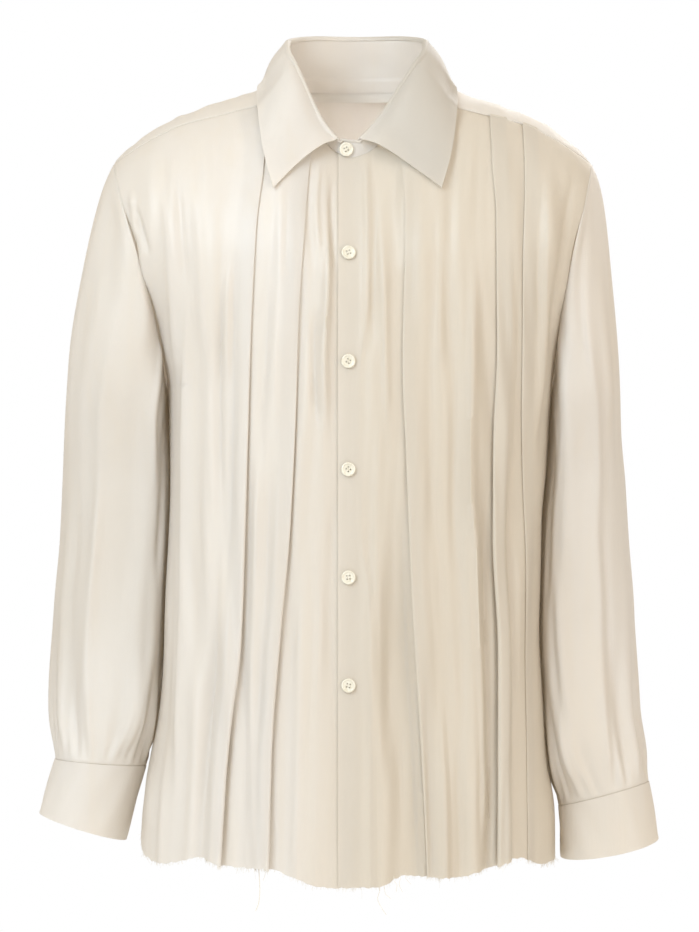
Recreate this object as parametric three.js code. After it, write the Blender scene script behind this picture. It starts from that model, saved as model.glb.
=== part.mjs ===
// Tuxedo shirt with knife-pleated fronts, worn and hollow: ten cloth pieces, a label and eight buttons.
// Millimetres, +Z up. The front faces -Y and the wearer's left is +X. The origin is the middle of the
// neck opening, where the wearer's neck holds the shirt. `hand` is -1 on the wearer's right, +1 on the left,
// and `side` is -1 on the front of the torso, +1 on its back.
import * as THREE from 'three';

// ---- driving sizes -------------------------------------------------------------------------------------
const CLOTH = 1.0;             // one layer of the silk
const COLLAR_CLOTH = 1.6;      // two layers and an interlining
const CUFF_CLOTH = 1.8;
const SEAM = 0.4;              // half of the gap left along a sewn edge
const RIDGE_Y = 5;             // depth at which the shoulder ridge and the side seams run
const FRONT_DEPTH = 125;       // from the ridge to the middle of the chest
const BACK_DEPTH = 120;
const SECTION_POWER = 2.6;     // superellipse power of the torso's level sections
const NECK_HALF = 70;          // half width of the neck opening
const NECK_FRONT = 71;         // the opening's reach in front of the ridge, in plan
const NECK_BACK = 57;
const NECK_FRONT_CROWN = 6;    // height that the chest's surface would reach over the neck opening
const NECK_BACK_CROWN = 63;
// How the crown falls to the neckline: the power of the distance out, then that of the whole.
const NECK_FRONT_FALL = [2, 2];
const NECK_BACK_FALL = [2.2, 1.5];
const NECKLINE_END = 57;       // distance from the middle where the yoke's front seam meets the neckline
const SHOULDER_TOP = -47;      // height of the shoulder point, the top of the armhole
const ARMPIT = -257;           // height of the armhole's bottom
const OVERLAP = 10.5;          // each front passes the middle by this much
const OVERLAP_LIFT = 0.95;     // the left front lies this much outside the middle surface, the right inside
const YOKE_BACK_SEAM = -56;    // height of the yoke's back seam
const BUTTON = { radius: 6.75, thick: 2.4, hole: 0.85, holeRing: 1.9, first: -136, pitch: 100, count: 5 };
const BUTTON_X = -1;
const COLLAR_BUTTON = { x: -3, z: -36.8, lift: 0.9 };   // `lift` clears the front below it
const BUTTON_GAP = 0.3;
const CUFF_BUTTON_TURN = 0.45; // place of a cuff's button along the overlap

// ---- tables --------------------------------------------------------------------------------------------
// The torso's middle and half width at each height. Above the armpit the width is that of the surface that
// the armhole cuts.
const TORSO = [
  { z: 80, middle: 8, half: 260 },
  { z: 0, middle: 4.5, half: 260 },
  { z: -47, middle: 3, half: 260 },
  { z: -100, middle: 4, half: 245 },
  { z: -150, middle: 6, half: 225 },
  { z: -200, middle: 8, half: 198 },
  { z: -230, middle: 9, half: 188 },
  { z: -257, middle: 9.5, half: 182 },
  { z: -330, middle: 9, half: 179 },
  { z: -390, middle: 6, half: 177 },
  { z: -490, middle: 2, half: 178 },
  { z: -550, middle: 1, half: 181 },
  { z: -610, middle: 0, half: 187 },
  { z: -667, middle: -1, half: 196 },
  { z: -730, middle: -2, half: 197 },
];
// The shoulder ridge: its height, how far below it the chest is full, and how round the fall is.
const SHOULDER = [
  { across: 0, z: 35, reach: 180, power: 1.6 },
  { across: 70, z: 35, reach: 170, power: 1.62 },
  { across: 94, z: 24, reach: 162, power: 1.68 },
  { across: 127, z: 13, reach: 150, power: 1.75 },
  { across: 160, z: 1.5, reach: 140, power: 1.83 },
  { across: 187, z: -12, reach: 130, power: 1.9 },
  { across: 209, z: -28, reach: 124, power: 1.96 },
  { across: 227, z: -47, reach: 120, power: 2 },
  { across: 260, z: -90, reach: 120, power: 2 },
];
// Distance of the armhole from the torso's middle.
const ARMHOLE = [
  { z: -47, across: 227 },
  { z: -92, across: 215.5 },
  { z: -140, across: 202 },
  { z: -200, across: 188.5 },
  { z: -257, across: 182 },
];
const YOKE_FRONT_SEAM = [
  { across: 57, z: 11 },
  { across: 94, z: 5 },
  { across: 127, z: -2.5 },
  { across: 160, z: -10.5 },
  { across: 187, z: -23 },
  { across: 209, z: -36 },
  { across: 227, z: -47 },
];
// The raw hem's height along x, front and back.
const FRONT_HEM = [
  { x: -200, z: -673 },
  { x: -191, z: -698 },
  { x: -176, z: -704 },
  { x: -154, z: -701 },
  { x: -138, z: -696 },
  { x: -116, z: -704 },
  { x: -75, z: -706 },
  { x: -54, z: -713 },
  { x: -24, z: -723 },
  { x: 24, z: -723 },
  { x: 50, z: -713 },
  { x: 94, z: -714 },
  { x: 134, z: -705 },
  { x: 155, z: -698 },
  { x: 184, z: -706 },
  { x: 198, z: -703 },
];
const BACK_HEM = [
  { x: -200, z: -672 },
  { x: -186, z: -700 },
  { x: -110, z: -706 },
  { x: -40, z: -714 },
  { x: 30, z: -712 },
  { x: 110, z: -706 },
  { x: 198, z: -700 },
];
// Knife pleats. `at` is the distance of the fold's edge from the middle front; every fold faces the middle.
// `tuck` is the width folded under and `gap` the spacing of the fold's layers, at the top and at the hem.
const PLEATS = {
  right: [
    { at: [[-20, 35], [-90, 40], [-200, 47], [-300, 50], [-400, 55], [-480, 62], [-600, 71], [-720, 74]],
      tuck: [15, 9], gap: [1.9, 5.0], fall: 16 },
    { at: [[5, 87], [-40, 79], [-110, 86], [-220, 91], [-400, 95], [-500, 99], [-620, 112], [-720, 118]],
      tuck: [18, 10], gap: [1.9, 6.0], fall: 12 },
  ],
  left: [
    { at: [[-20, 44], [-50, 48], [-90, 52], [-240, 49], [-320, 52], [-480, 58], [-600, 66], [-720, 72]],
      tuck: [12, 8], gap: [1.9, 4.4], fall: 16 },
    { at: [[5, 132], [-50, 133], [-100, 136], [-200, 136],
      [-330, 132], [-400, 131], [-500, 135], [-720, 134]],
      tuck: [14, 8], gap: [1.9, 7.0], fall: 8 },
    { at: [[-5, 163], [-60, 164], [-140, 161], [-250, 160], [-400, 162], [-560, 165], [-720, 166]],
      tuck: [12, 6], gap: [1.9, 3.6], fall: 8 },
  ],
};
// Soft ridges of the fronts: their line, half width, and height at the top, the middle and the hem.
const RIDGES = {
  right: [
    { at: [[0, 22], [-300, 23], [-720, 36]], half: 7, height: [0, 2, 3] },
    { at: [[0, 128], [-300, 128], [-500, 133], [-620, 142], [-720, 150]], half: 9, height: [0, 5, 6] },
    { at: [[0, 158], [-300, 153], [-500, 155], [-720, 170]], half: 9, height: [0, 4, 5] },
  ],
  left: [
    { at: [[0, 24], [-300, 25], [-720, 30]], half: 8, height: [0, 3, 4] },
    { at: [[-60, 110], [-250, 107], [-500, 111], [-720, 116]], half: 11, height: [0, 5, 9] },
  ],
};
// Soft ridges of the back: distance from the middle as a share of the half width, and height at the hem.
const BACK_RIDGES = [
  { share: -0.8, height: 4 },
  { share: -0.55, height: 7 },
  { share: -0.24, height: 6 },
  { share: 0.08, height: 8 },
  { share: 0.38, height: 6 },
  { share: 0.7, height: 6 },
];
// The sleeve at each height: its outer edge from x = 0, half depth, how far it hangs behind the side seam,
// and how far its inner edge lies outside the torso's widest place.
const SLEEVE = [
  { z: -47, right: 226, left: 229, deep: 62, behind: 0, apart: 3 },
  { z: -62, right: 233, left: 235, deep: 66, behind: 0, apart: 3 },
  { z: -90, right: 242, left: 241, deep: 70, behind: 1, apart: 3 },
  { z: -147, right: 255, left: 248, deep: 74, behind: 3, apart: 3 },
  { z: -218, right: 267, left: 255.5, deep: 74, behind: 8, apart: 2.6 },
  { z: -257, right: 270, left: 258, deep: 73, behind: 14, apart: 2.0 },
  { z: -304, right: 273, left: 260, deep: 70, behind: 26, apart: 1.6 },
  { z: -345, right: 275, left: 264, deep: 68, behind: 34, apart: 0.6 },
  { z: -404, right: 278, left: 268, deep: 66, behind: 37, apart: 0.4 },
  { z: -475, right: 284, left: 273.5, deep: 62, behind: 35, apart: 0.5 },
  { z: -560, right: 285, left: 275, deep: 57, behind: 21, apart: 2 },
  { z: -610, right: 283, left: 280, deep: 50, behind: 6, apart: 3.2 },
  { z: -660, right: 283, left: 284, deep: 44, behind: -6, apart: 3.2 },
];
// Outer and inner corners of each cuff, as distance from x = 0 and height, and how far its front dips.
const CUFFS = {
  right: {
    topOuter: [279, -611], topInner: [193, -617], endOuter: [293.5, -662], endInner: [212, -687], dip: 2,
  },
  left: {
    topOuter: [283.5, -632], topInner: [198.5, -655], endOuter: [292.5, -686], endInner: [200.5, -703], dip: 6,
  },
};
const CUFF_DEEP = 36;
const CUFF_BEHIND = -8;         // depth of the cuff's middle, from the side seam
const CUFF_LAP = { from: 250, turn: 28 };   // degrees round the cuff: its outer end, and the overlap
const CUFF_LAP_LIFT = 1.25;
const CUFF_LAP_FADE = 4;        // the lift is gone after a quarter of the strip
const CUFF_LAP_FULL = 0.1;      // and whole over this share at each end
// Fullness of the sleeve taken in at the cuff.
const GATHERS = { count: 9, height: 2.6, from: 0.72, grow: 0.16, end: 0.07 };   // shares of the sleeve
// The collar from the middle back to its front end: place round the neck, fold line, outer edge, and the
// shift of the fold line, which follows the turned neck.
const COLLAR = [
  { round: 180, foldX: 0, foldY: 57, foldZ: 79, edgeX: 0, edgeY: 77, edgeZ: 32, shift: 8 },
  { round: 150, foldX: 32, foldY: 50, foldZ: 79, edgeX: 43, edgeY: 71, edgeZ: 26, shift: 8 },
  { round: 124, foldX: 54, foldY: 36, foldZ: 77, edgeX: 75, edgeY: 53, edgeZ: 23, shift: 8 },
  { round: 103, foldX: 65, foldY: 15, foldZ: 72, edgeX: 90, edgeY: 19, edgeZ: 29, shift: 7 },
  { round: 84, foldX: 64, foldY: -11, foldZ: 62, edgeX: 92.5, edgeY: -14, edgeZ: 20, shift: 6.5 },
  { round: 66, foldX: 56, foldY: -35, foldZ: 47, edgeX: 92.5, edgeY: 0, edgeZ: 1, shift: 5.5 },
  { round: 50, foldX: 45, foldY: -50, foldZ: 27, edgeX: 90.5, edgeY: 0, edgeZ: -21, shift: 3.5 },
  { round: 35, foldX: 34, foldY: -59, foldZ: 6, edgeX: 87, edgeY: 0, edgeZ: -42, shift: 1.5 },
  { round: 21, foldX: 22, foldY: -65, foldZ: -13, edgeX: 82.5, edgeY: 0, edgeZ: -60, shift: 0 },
  { round: 9, foldX: 10, foldY: -71, foldZ: -27, edgeX: 78, edgeY: 0, edgeZ: -75, shift: -1 },
];
const EDGE_ON_BODY_FROM = 5;   // from this row on the collar's edge lies over the fronts
const EDGE_SHIFT = 7.5;
const LEAF_CLEAR = 6.2;        // the leaf lies this far outside the fronts, over the pleats
const EDGE_CLEAR = 1.3 * LEAF_CLEAR;   // and its edge a little further
const RIDGE_CLEAR = 2.6;       // over the shoulder ridge it lies this far up
const NEAR_RIDGE = 25;         // within this depth of the ridge
const LEAF_SWELL = { out: 3, up: 2 };  // how far the leaf's middle bulges
const FOLD_ROLL = 2.6;         // radius of the collar's roll
// The label's reach to each side, in the yoke's columns, and the rows of the yoke that it spans.
const LABEL = { reach: 1.72, rows: [0.16, 0.52, 0.92], thick: 1.0, gap: 0.4 };

// ---- interpolation -------------------------------------------------------------------------------------
const clamp = (value, low, high) => Math.min(high, Math.max(low, value));
const lerp = (a, b, t) => a + (b - a) * t;
const smooth = (t) => {
  const c = clamp(t, 0, 1);
  return c * c * (3 - 2 * c);
};
const radians = (degrees) => degrees * Math.PI / 180;

// A smooth curve through points [at, value], flat beyond its ends, with no overshoot.
function curveThrough(points) {
  const sorted = [...points].sort((a, b) => a[0] - b[0]);
  const slope = (i) => (sorted[i + 1][1] - sorted[i][1]) / (sorted[i + 1][0] - sorted[i][0]);
  const last = sorted.length - 1;
  const tangents = sorted.map((_, i) => {
    if (i === 0) return slope(0);
    if (i === last) return slope(last - 1);
    const before = slope(i - 1);
    const after = slope(i);
    return before * after <= 0 ? 0 : 2 * before * after / (before + after);
  });
  return (at) => {
    if (at <= sorted[0][0]) return sorted[0][1];
    if (at >= sorted[last][0]) return sorted[last][1];
    let i = 0;
    while (at > sorted[i + 1][0]) i += 1;
    const span = sorted[i + 1][0] - sorted[i][0];
    const t = (at - sorted[i][0]) / span;
    const t2 = t * t;
    const t3 = t2 * t;
    return (2 * t3 - 3 * t2 + 1) * sorted[i][1] + (t3 - 2 * t2 + t) * span * tangents[i]
      + (3 * t2 - 2 * t3) * sorted[i + 1][1] + (t3 - t2) * span * tangents[i + 1];
  };
}
const columnOf = (rows, key, value) => curveThrough(rows.map((row) => [row[key], row[value]]));

const middleAt = columnOf(TORSO, 'z', 'middle');
const halfAt = columnOf(TORSO, 'z', 'half');
const ridgeAt = columnOf(SHOULDER, 'across', 'z');
const reachAt = columnOf(SHOULDER, 'across', 'reach');
const powerAt = columnOf(SHOULDER, 'across', 'power');
const armholeAt = columnOf(ARMHOLE, 'z', 'across');
const yokeFrontAt = columnOf(YOKE_FRONT_SEAM, 'across', 'z');
const frontHemAt = columnOf(FRONT_HEM, 'x', 'z');
const backHemAt = columnOf(BACK_HEM, 'x', 'z');

// ---- the torso's surface -------------------------------------------------------------------------------
// Height of the shoulder ridge, and over the neck opening the height that the front or back rises to.
function crown(across, side) {
  const out = Math.min(across / NECK_HALF, 1);
  const top = side < 0 ? NECK_FRONT_CROWN : NECK_BACK_CROWN;
  const [outPower, wholePower] = side < 0 ? NECK_FRONT_FALL : NECK_BACK_FALL;
  return ridgeAt(across) + (top - SHOULDER[0].z) * (1 - out ** outPower) ** wholePower;
}
const depthOf = (side) => (side < 0 ? FRONT_DEPTH : BACK_DEPTH);
const sectionFull = (across, half) => (1 - (across / half) ** SECTION_POWER) ** (1 / SECTION_POWER);

function torsoY(x, z, side) {
  const half = halfAt(z);
  const across = Math.min(Math.abs(x - middleAt(z)), half);
  const fall = clamp((crown(across, side) - z) / reachAt(across), 0, 1);
  const power = powerAt(across);
  const full = (1 - (1 - fall) ** power) ** (1 / power);
  return RIDGE_Y + side * depthOf(side) * full * sectionFull(across, half);
}

// Height of the shoulder's surface above a place in plan.
function shoulderZ(across, y) {
  const side = y < RIDGE_Y ? -1 : 1;
  const full = Math.abs(y - RIDGE_Y) / depthOf(side) / sectionFull(across, TORSO[0].half);
  const power = powerAt(across);
  const fall = 1 - (1 - clamp(full, 0, 1) ** power) ** (1 / power);
  return crown(across, side) - reachAt(across) * fall;
}

// A point of the torso's surface, moved out along its normal by `lift`.
function torsoPoint(x, z, side, lift = 0) {
  const y = torsoY(x, z, side);
  const slopeX = (torsoY(x + 1, z, side) - torsoY(x - 1, z, side)) / 2;
  const slopeZ = (torsoY(x, z + 1, side) - torsoY(x, z - 1, side)) / 2;
  const normal = new THREE.Vector3(-slopeX, 1, -slopeZ).multiplyScalar(side).normalize();
  return new THREE.Vector3(x, y, z).addScaledVector(normal, lift);
}

// The neckline: `degrees` run from the middle front to the middle back.
function necklinePoint(hand, degrees) {
  const angle = radians(degrees);
  const across = NECK_HALF * Math.sin(angle);
  const reach = Math.cos(angle) > 0 ? NECK_FRONT : NECK_BACK;
  const y = RIDGE_Y - reach * Math.cos(angle);
  const z = shoulderZ(Math.abs(across), y);
  return new THREE.Vector3(middleAt(z) + hand * across, y, z);
}
const necklineZ = (across) => necklinePoint(1, Math.asin(across / NECK_HALF) * 180 / Math.PI).z;

// ---- walls of cloth ------------------------------------------------------------------------------------
// A closed wall round a grid of middle points, grid[column][row]. `around` joins the last column to the
// first.
function clothWall(grid, thick, around = false) {
  const columns = grid.length;
  const rows = grid[0].length;
  const columnAt = (i) => (around ? (i + columns) % columns : clamp(i, 0, columns - 1));
  const at = (i, j) => grid[columnAt(i)][clamp(j, 0, rows - 1)];
  const corners = [];
  for (const reach of [thick / 2, -thick / 2]) {
    for (let i = 0; i < columns; i += 1) {
      for (let j = 0; j < rows; j += 1) {
        const along = at(i + 1, j).clone().sub(at(i - 1, j));
        const up = at(i, j + 1).clone().sub(at(i, j - 1));
        const normal = along.cross(up).normalize();
        corners.push(at(i, j).clone().addScaledVector(normal, reach));
      }
    }
  }
  const index = [];
  const quad = (a, b, c, d) => index.push(a, b, c, a, c, d);
  const outer = (i, j) => ((i + columns) % columns) * rows + j;
  const inner = (i, j) => columns * rows + outer(i, j);
  const spans = around ? columns : columns - 1;
  for (let i = 0; i < spans; i += 1) {
    for (let j = 0; j < rows - 1; j += 1) {
      quad(outer(i, j), outer(i + 1, j), outer(i + 1, j + 1), outer(i, j + 1));
      quad(inner(i, j), inner(i, j + 1), inner(i + 1, j + 1), inner(i + 1, j));
    }
    quad(outer(i, 0), inner(i, 0), inner(i + 1, 0), outer(i + 1, 0));
    quad(outer(i, rows - 1), outer(i + 1, rows - 1), inner(i + 1, rows - 1), inner(i, rows - 1));
  }
  if (!around) {
    const last = columns - 1;
    for (let j = 0; j < rows - 1; j += 1) {
      quad(outer(0, j), outer(0, j + 1), inner(0, j + 1), inner(0, j));
      quad(outer(last, j), inner(last, j), inner(last, j + 1), outer(last, j + 1));
    }
  }
  const geometry = new THREE.BufferGeometry();
  geometry.setAttribute('position', new THREE.Float32BufferAttribute(corners.flatMap((p) => p.toArray()), 3));
  geometry.setIndex(volumeOf(corners, index) > 0 ? index : index.slice().reverse());
  geometry.computeVertexNormals();
  return geometry;
}

// Six times the volume that the triangles enclose: positive when they face out.
function volumeOf(corners, index) {
  let sum = 0;
  for (let i = 0; i < index.length; i += 3) {
    const [a, b, c] = [corners[index[i]], corners[index[i + 1]], corners[index[i + 2]]];
    sum += a.dot(b.clone().cross(c));
  }
  return sum;
}

// ---- fronts --------------------------------------------------------------------------------------------
const FRONT_ROWS = 15;
const SIDE_COLUMNS = 6;
const HIPS = -400;             // height at which the fronts' columns are put in order
const FRONT_TOP = 20;          // height from which the fronts' folds are measured down
const FRONT_LONG = 730;
const RIDGE_MIDDLE = 0.4;      // share of that length at which a ridge has its middle height
const RIDGE_TURNS = [-0.4, 0.4, 1.2];   // columns of a ridge, in half widths from its line
const FOLD_TURNS = [-90, -30, 30, 90];  // degrees round a pleat's fold
const LAP_FADE = 12;           // the overlap's lift dies away over this width
const ROW_CROWD = 1.2;         // rows lie closer together towards the hem as this grows
// A pleat's gap opens, and its sink dies away, by [times the share of the length, less this].
const GAP_OPENS = [1.15, 0.1];
const SINK_FADES = [4, 0.2];
const FRONT_PASSES = 40;       // rounds in which a front column's ends settle on its edges

// Height of the fronts' upper edge: below the band along the neckline, then below the yoke's seam.
function frontTopAt(across) {
  if (across >= NECKLINE_END) return yokeFrontAt(across) - 2 * SEAM;
  const slope = necklineZ(across + 1) - necklineZ(across);
  return necklineZ(across) - 4 * SEAM * Math.hypot(1, slope);
}

// How far a height lies down the front: 0 at the top, 1 at the hem.
const downFront = (z) => clamp((FRONT_TOP - z) / FRONT_LONG, 0, 1);

function ridgeLift(ridges, s, z) {
  return ridges.reduce((sum, ridge) => {
    const down = downFront(z);
    const height = down < RIDGE_MIDDLE
      ? lerp(ridge.height[0], ridge.height[1], smooth(down / RIDGE_MIDDLE))
      : lerp(ridge.height[1], ridge.height[2], smooth((down - RIDGE_MIDDLE) / (1 - RIDGE_MIDDLE)));
    return sum + height * Math.exp(-(((s - ridge.line(z)) / ridge.half) ** 2));
  }, 0);
}

// Columns of a knife pleat: its lower layer, the fold under, the middle layer, the edge and the top layer.
function pleatColumns(pleat) {
  const gapAt = (z) => lerp(pleat.gap[0], pleat.gap[1], smooth(downFront(z) * GAP_OPENS[0] - GAP_OPENS[1]));
  const tuckAt = (z) => lerp(pleat.tuck[0], pleat.tuck[1], smooth(downFront(z)));
  const sink = (z) => -gapAt(z) * (1 - smooth(downFront(z) * SINK_FADES[0] - SINK_FADES[1]));
  const turn = (offset, level, degrees) => (z) => {
    const radius = gapAt(z) / 2;
    const reach = radius * Math.cos(radians(degrees));
    return {
      s: pleat.line(z) + radius + (offset > 0 ? tuckAt(z) + reach : -reach),
      lift: sink(z) + level * gapAt(z) + radius * Math.sin(radians(degrees)),
    };
  };
  return [
    (z) => ({ s: pleat.line(z), lift: sink(z) }),
    ...FOLD_TURNS.map((degrees) => turn(1, 0.5, degrees)),
    ...FOLD_TURNS.map((degrees) => turn(-1, 1.5, degrees)),
    (z) => ({ s: pleat.line(z) + tuckAt(z), lift: sink(z) + 2 * gapAt(z) }),
    (z) => ({ s: pleat.line(z) + tuckAt(z) + pleat.fall / 2, lift: sink(z) / 2 + gapAt(z) }),
    (z) => ({ s: pleat.line(z) + tuckAt(z) + pleat.fall, lift: 0 }),
  ];
}

function frontPanel(hand) {
  const key = hand < 0 ? 'right' : 'left';
  const pleats = PLEATS[key].map((pleat) => ({ ...pleat, line: curveThrough(pleat.at) }));
  const ridges = RIDGES[key].map((ridge) => ({ ...ridge, line: curveThrough(ridge.at) }));
  const lapLift = (s) => hand * OVERLAP_LIFT * (1 - smooth((s - OVERLAP) / LAP_FADE));
  const groups = [[-OVERLAP, 0, OVERLAP].map((s) => () => ({ s, lift: 0 }))];
  pleats.forEach((pleat) => groups.push(pleatColumns(pleat)));
  ridges.forEach((ridge) => {
    groups.push(RIDGE_TURNS.map((turn) => (z) => ({ s: ridge.line(z) + turn * ridge.half, lift: 0 })));
  });
  groups.sort((a, b) => a[0](HIPS).s - b[0](HIPS).s);
  const columns = groups.flat();
  const lastInner = columns[columns.length - 1];
  const sideEdge = (z) => (z > ARMPIT ? armholeAt(z) - 2 * SEAM : halfAt(z));
  for (let k = 1; k <= SIDE_COLUMNS; k += 1) {
    columns.push((z) => {
      const half = halfAt(z);
      const angleOf = (across) => Math.asin(clamp(across / half, 0, 1) ** (SECTION_POWER / 2));
      const from = lastInner(z).s - hand * middleAt(z);
      const angle = lerp(angleOf(from), angleOf(sideEdge(z)), k / SIDE_COLUMNS);
      return { s: hand * middleAt(z) + half * Math.sin(angle) ** (2 / SECTION_POWER), lift: 0 };
    });
  }
  const grid = columns.map((column) => {
    const acrossAt = (z) => Math.abs(column(z).s - hand * middleAt(z));
    let top = SHOULDER_TOP;
    let hem = FRONT_HEM[0].z;
    for (let pass = 0; pass < FRONT_PASSES; pass += 1) {
      top = frontTopAt(Math.min(acrossAt(top), YOKE_FRONT_SEAM.at(-1).across));
      hem = frontHemAt(hand * column(hem).s);
    }
    return Array.from({ length: FRONT_ROWS + 1 }, (_, j) => {
      const z = lerp(hem, top, 1 - (1 - j / FRONT_ROWS) ** ROW_CROWD);
      const { s, lift } = column(z);
      const point = torsoPoint(hand * s, z, -1, lift + ridgeLift(ridges, s, z) + lapLift(s));
      point.y = Math.min(point.y, RIDGE_Y - SEAM);
      return point;
    });
  });
  return clothWall(grid, CLOTH);
}

// ---- back and yoke -------------------------------------------------------------------------------------
const BACK_ROWS = 14;
const BACK_RIDGE_SHARE = 0.07; // half width of a back ridge, as a share of the back's half
const BACK_RIDGE_TURNS = [-1.3, -0.65, 0, 0.65, 1.3];   // columns of a ridge, in its half widths
const BACK_RIDGE_FADE = 250;   // the ridges grow to full height over this length below the yoke
const BACK_EDGE_SHARES = [-1, -0.95, 0.84, 0.92, 1];    // columns beside the side seams
const BACK_PASSES = 20;        // rounds in which a back column's end settles on the hem
const YOKE_ROWS = 7;
// Across, from the shoulder point in, and then in degrees round the neck to the middle back.
const YOKE_SEAM_STEPS = [226.2, 212, 195, 175, 155, 130, 105, 80, 57];
const YOKE_NECK_STEPS = [74, 95, 116, 138, 159, 180];

function backPanel() {
  const shares = BACK_RIDGES.flatMap(({ share }) => (
    BACK_RIDGE_TURNS.map((turn) => share + turn * BACK_RIDGE_SHARE)));
  BACK_RIDGES.slice(1).forEach(({ share }, i) => shares.push((share + BACK_RIDGES[i].share) / 2));
  shares.push(...BACK_EDGE_SHARES);
  shares.sort((a, b) => a - b);
  const grid = shares.map((share) => {
    const xAt = (z) => {
      const half = halfAt(z);
      const edge = z > ARMPIT ? armholeAt(z) - 2 * SEAM : half;
      const widest = Math.asin(clamp(edge / half, 0, 1) ** (SECTION_POWER / 2));
      const across = half * Math.sin(Math.abs(share) * widest) ** (2 / SECTION_POWER);
      return middleAt(z) + Math.sign(share) * across;
    };
    let hem = BACK_HEM[1].z;
    for (let pass = 0; pass < BACK_PASSES; pass += 1) hem = backHemAt(xAt(hem));
    return Array.from({ length: BACK_ROWS + 1 }, (_, j) => {
      const z = lerp(hem, YOKE_BACK_SEAM - SEAM, j / BACK_ROWS);
      const down = smooth((YOKE_BACK_SEAM - z) / BACK_RIDGE_FADE);
      const lift = BACK_RIDGES.reduce((sum, ridge) => sum
        + ridge.height * down * Math.exp(-(((share - ridge.share) / BACK_RIDGE_SHARE) ** 2)), 0);
      const point = torsoPoint(xAt(z), z, 1, lift);
      point.y = Math.max(point.y, RIDGE_Y + SEAM);
      return point;
    });
  });
  return clothWall(grid, CLOTH);
}

// How far round the shoulder a point of the surface lies: 0 on the ridge, negative in front.
function turnOver(across, z, side) {
  const fall = clamp((crown(across, side) - z) / reachAt(across), 0, 1);
  return side * Math.acos((1 - fall) ** (powerAt(across) / 2));
}

// The yoke's middle surface, from the wearer's right shoulder point over the middle back to the left one.
function yokeGrid() {
  const starts = [
    ...YOKE_SEAM_STEPS.map((across) => ({ across, turn: turnOver(across, yokeFrontAt(across) + SEAM, -1) })),
    ...YOKE_NECK_STEPS.map((degrees) => {
      const point = necklinePoint(1, degrees);
      const across = NECK_HALF * Math.sin(radians(degrees));
      return { across, turn: turnOver(across, point.z, degrees < 90 ? -1 : 1) };
    }),
  ];
  const seamZ = YOKE_BACK_SEAM + SEAM;
  const widest = armholeAt(seamZ) - 2 * SEAM;
  const halfGrid = starts.map((start, i) => {
    const endAcross = widest * (1 - i / (starts.length - 1));
    const endTurn = turnOver(endAcross, seamZ, 1);
    return Array.from({ length: YOKE_ROWS + 1 }, (_, j) => {
      const across = lerp(start.across, endAcross, j / YOKE_ROWS);
      const turn = lerp(start.turn, endTurn, j / YOKE_ROWS);
      const side = turn < 0 ? -1 : 1;
      const z = crown(across, side) - reachAt(across) * (1 - Math.cos(turn) ** (2 / powerAt(across)));
      return { across, side, z };
    });
  });
  const place = (hand) => halfGrid.map((column) => column.map(({ across, side, z }) => {
    const x = middleAt(z) + hand * across;
    return new THREE.Vector3(x, torsoY(x, z, side), z);
  }));
  return [...place(-1), ...place(1).reverse().slice(1)];
}

// A label sewn inside the yoke below the neck seam, left bare. It lies on the yoke's own facets, moved in.
function label(grid) {
  const middle = (grid.length - 1) / 2;
  const at = (i, j) => {
    const [i0, j0] = [Math.min(Math.floor(i), grid.length - 2), Math.min(Math.floor(j), YOKE_ROWS - 1)];
    const low = grid[i0][j0].clone().lerp(grid[i0 + 1][j0], i - i0);
    return low.lerp(grid[i0][j0 + 1].clone().lerp(grid[i0 + 1][j0 + 1], i - i0), j - j0);
  };
  const inside = CLOTH / 2 + LABEL.gap + LABEL.thick / 2;
  const steps = [-LABEL.reach, -1, 0, 1, LABEL.reach];
  return clothWall(steps.map((step) => LABEL.rows.map((row) => {
    const [i, j] = [middle + step, row];
    const along = at(i + 0.05, j).sub(at(i - 0.05, j));
    const down = at(i, j + 0.05).sub(at(i, j - 0.05));
    return at(i, j).addScaledVector(along.cross(down).normalize(), -inside);
  })), LABEL.thick);
}

// ---- sleeves and cuffs ---------------------------------------------------------------------------------
const SLEEVE_AROUND = 24;
const SLEEVE_ROWS = [0, 0.035, 0.09, 0.16, 0.25, 0.36, 0.48, 0.6, 0.72, 0.82, 0.9, 0.955, 1];
const HEAD_SPAN = [0.16, 0.45]; // share of the sleeve over which the armhole's shape fades, at armpit and top
const ARMPIT_GAP = 1.7;        // the sleeve's middle surface starts this far outside the armpit's
const END_SPAN = 0.16;         // share over which the tube narrows to the cuff
const CUFF_AROUND = 22;

const sleeveDeepAt = columnOf(SLEEVE, 'z', 'deep');
const sleeveBehindAt = columnOf(SLEEVE, 'z', 'behind');
const sleeveApartAt = columnOf(SLEEVE, 'z', 'apart');
const sleeveOuterAt = { right: columnOf(SLEEVE, 'z', 'right'), left: columnOf(SLEEVE, 'z', 'left') };

// The armhole: angle 0 at the shoulder point, a quarter turn in front, a half turn at the armpit.
function armholePoint(hand, angle) {
  const z = lerp(ARMPIT, SHOULDER_TOP, (1 + Math.cos(angle)) / 2);
  const clear = lerp(ARMPIT_GAP, SEAM / 2, ((1 + Math.cos(angle)) / 2) ** 0.5);
  const x = middleAt(z) + hand * (armholeAt(z) + clear);
  const y = torsoY(middleAt(z) + hand * armholeAt(z), z, Math.sin(angle) < 0 ? 1 : -1);
  return new THREE.Vector3(x, y, z);
}

// A level section of the hanging sleeve.
function sleeveSection(hand, angle, z) {
  const key = hand < 0 ? 'right' : 'left';
  const outer = sleeveOuterAt[key](z);
  const inner = hand * middleAt(z) + (z > ARMPIT ? armholeAt(z) : halfAt(z)) + sleeveApartAt(z);
  const s = (outer + inner) / 2 + (outer - inner) / 2 * Math.cos(angle);
  return new THREE.Vector3(hand * s, RIDGE_Y + sleeveBehindAt(z) - sleeveDeepAt(z) * Math.sin(angle), z);
}

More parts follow.
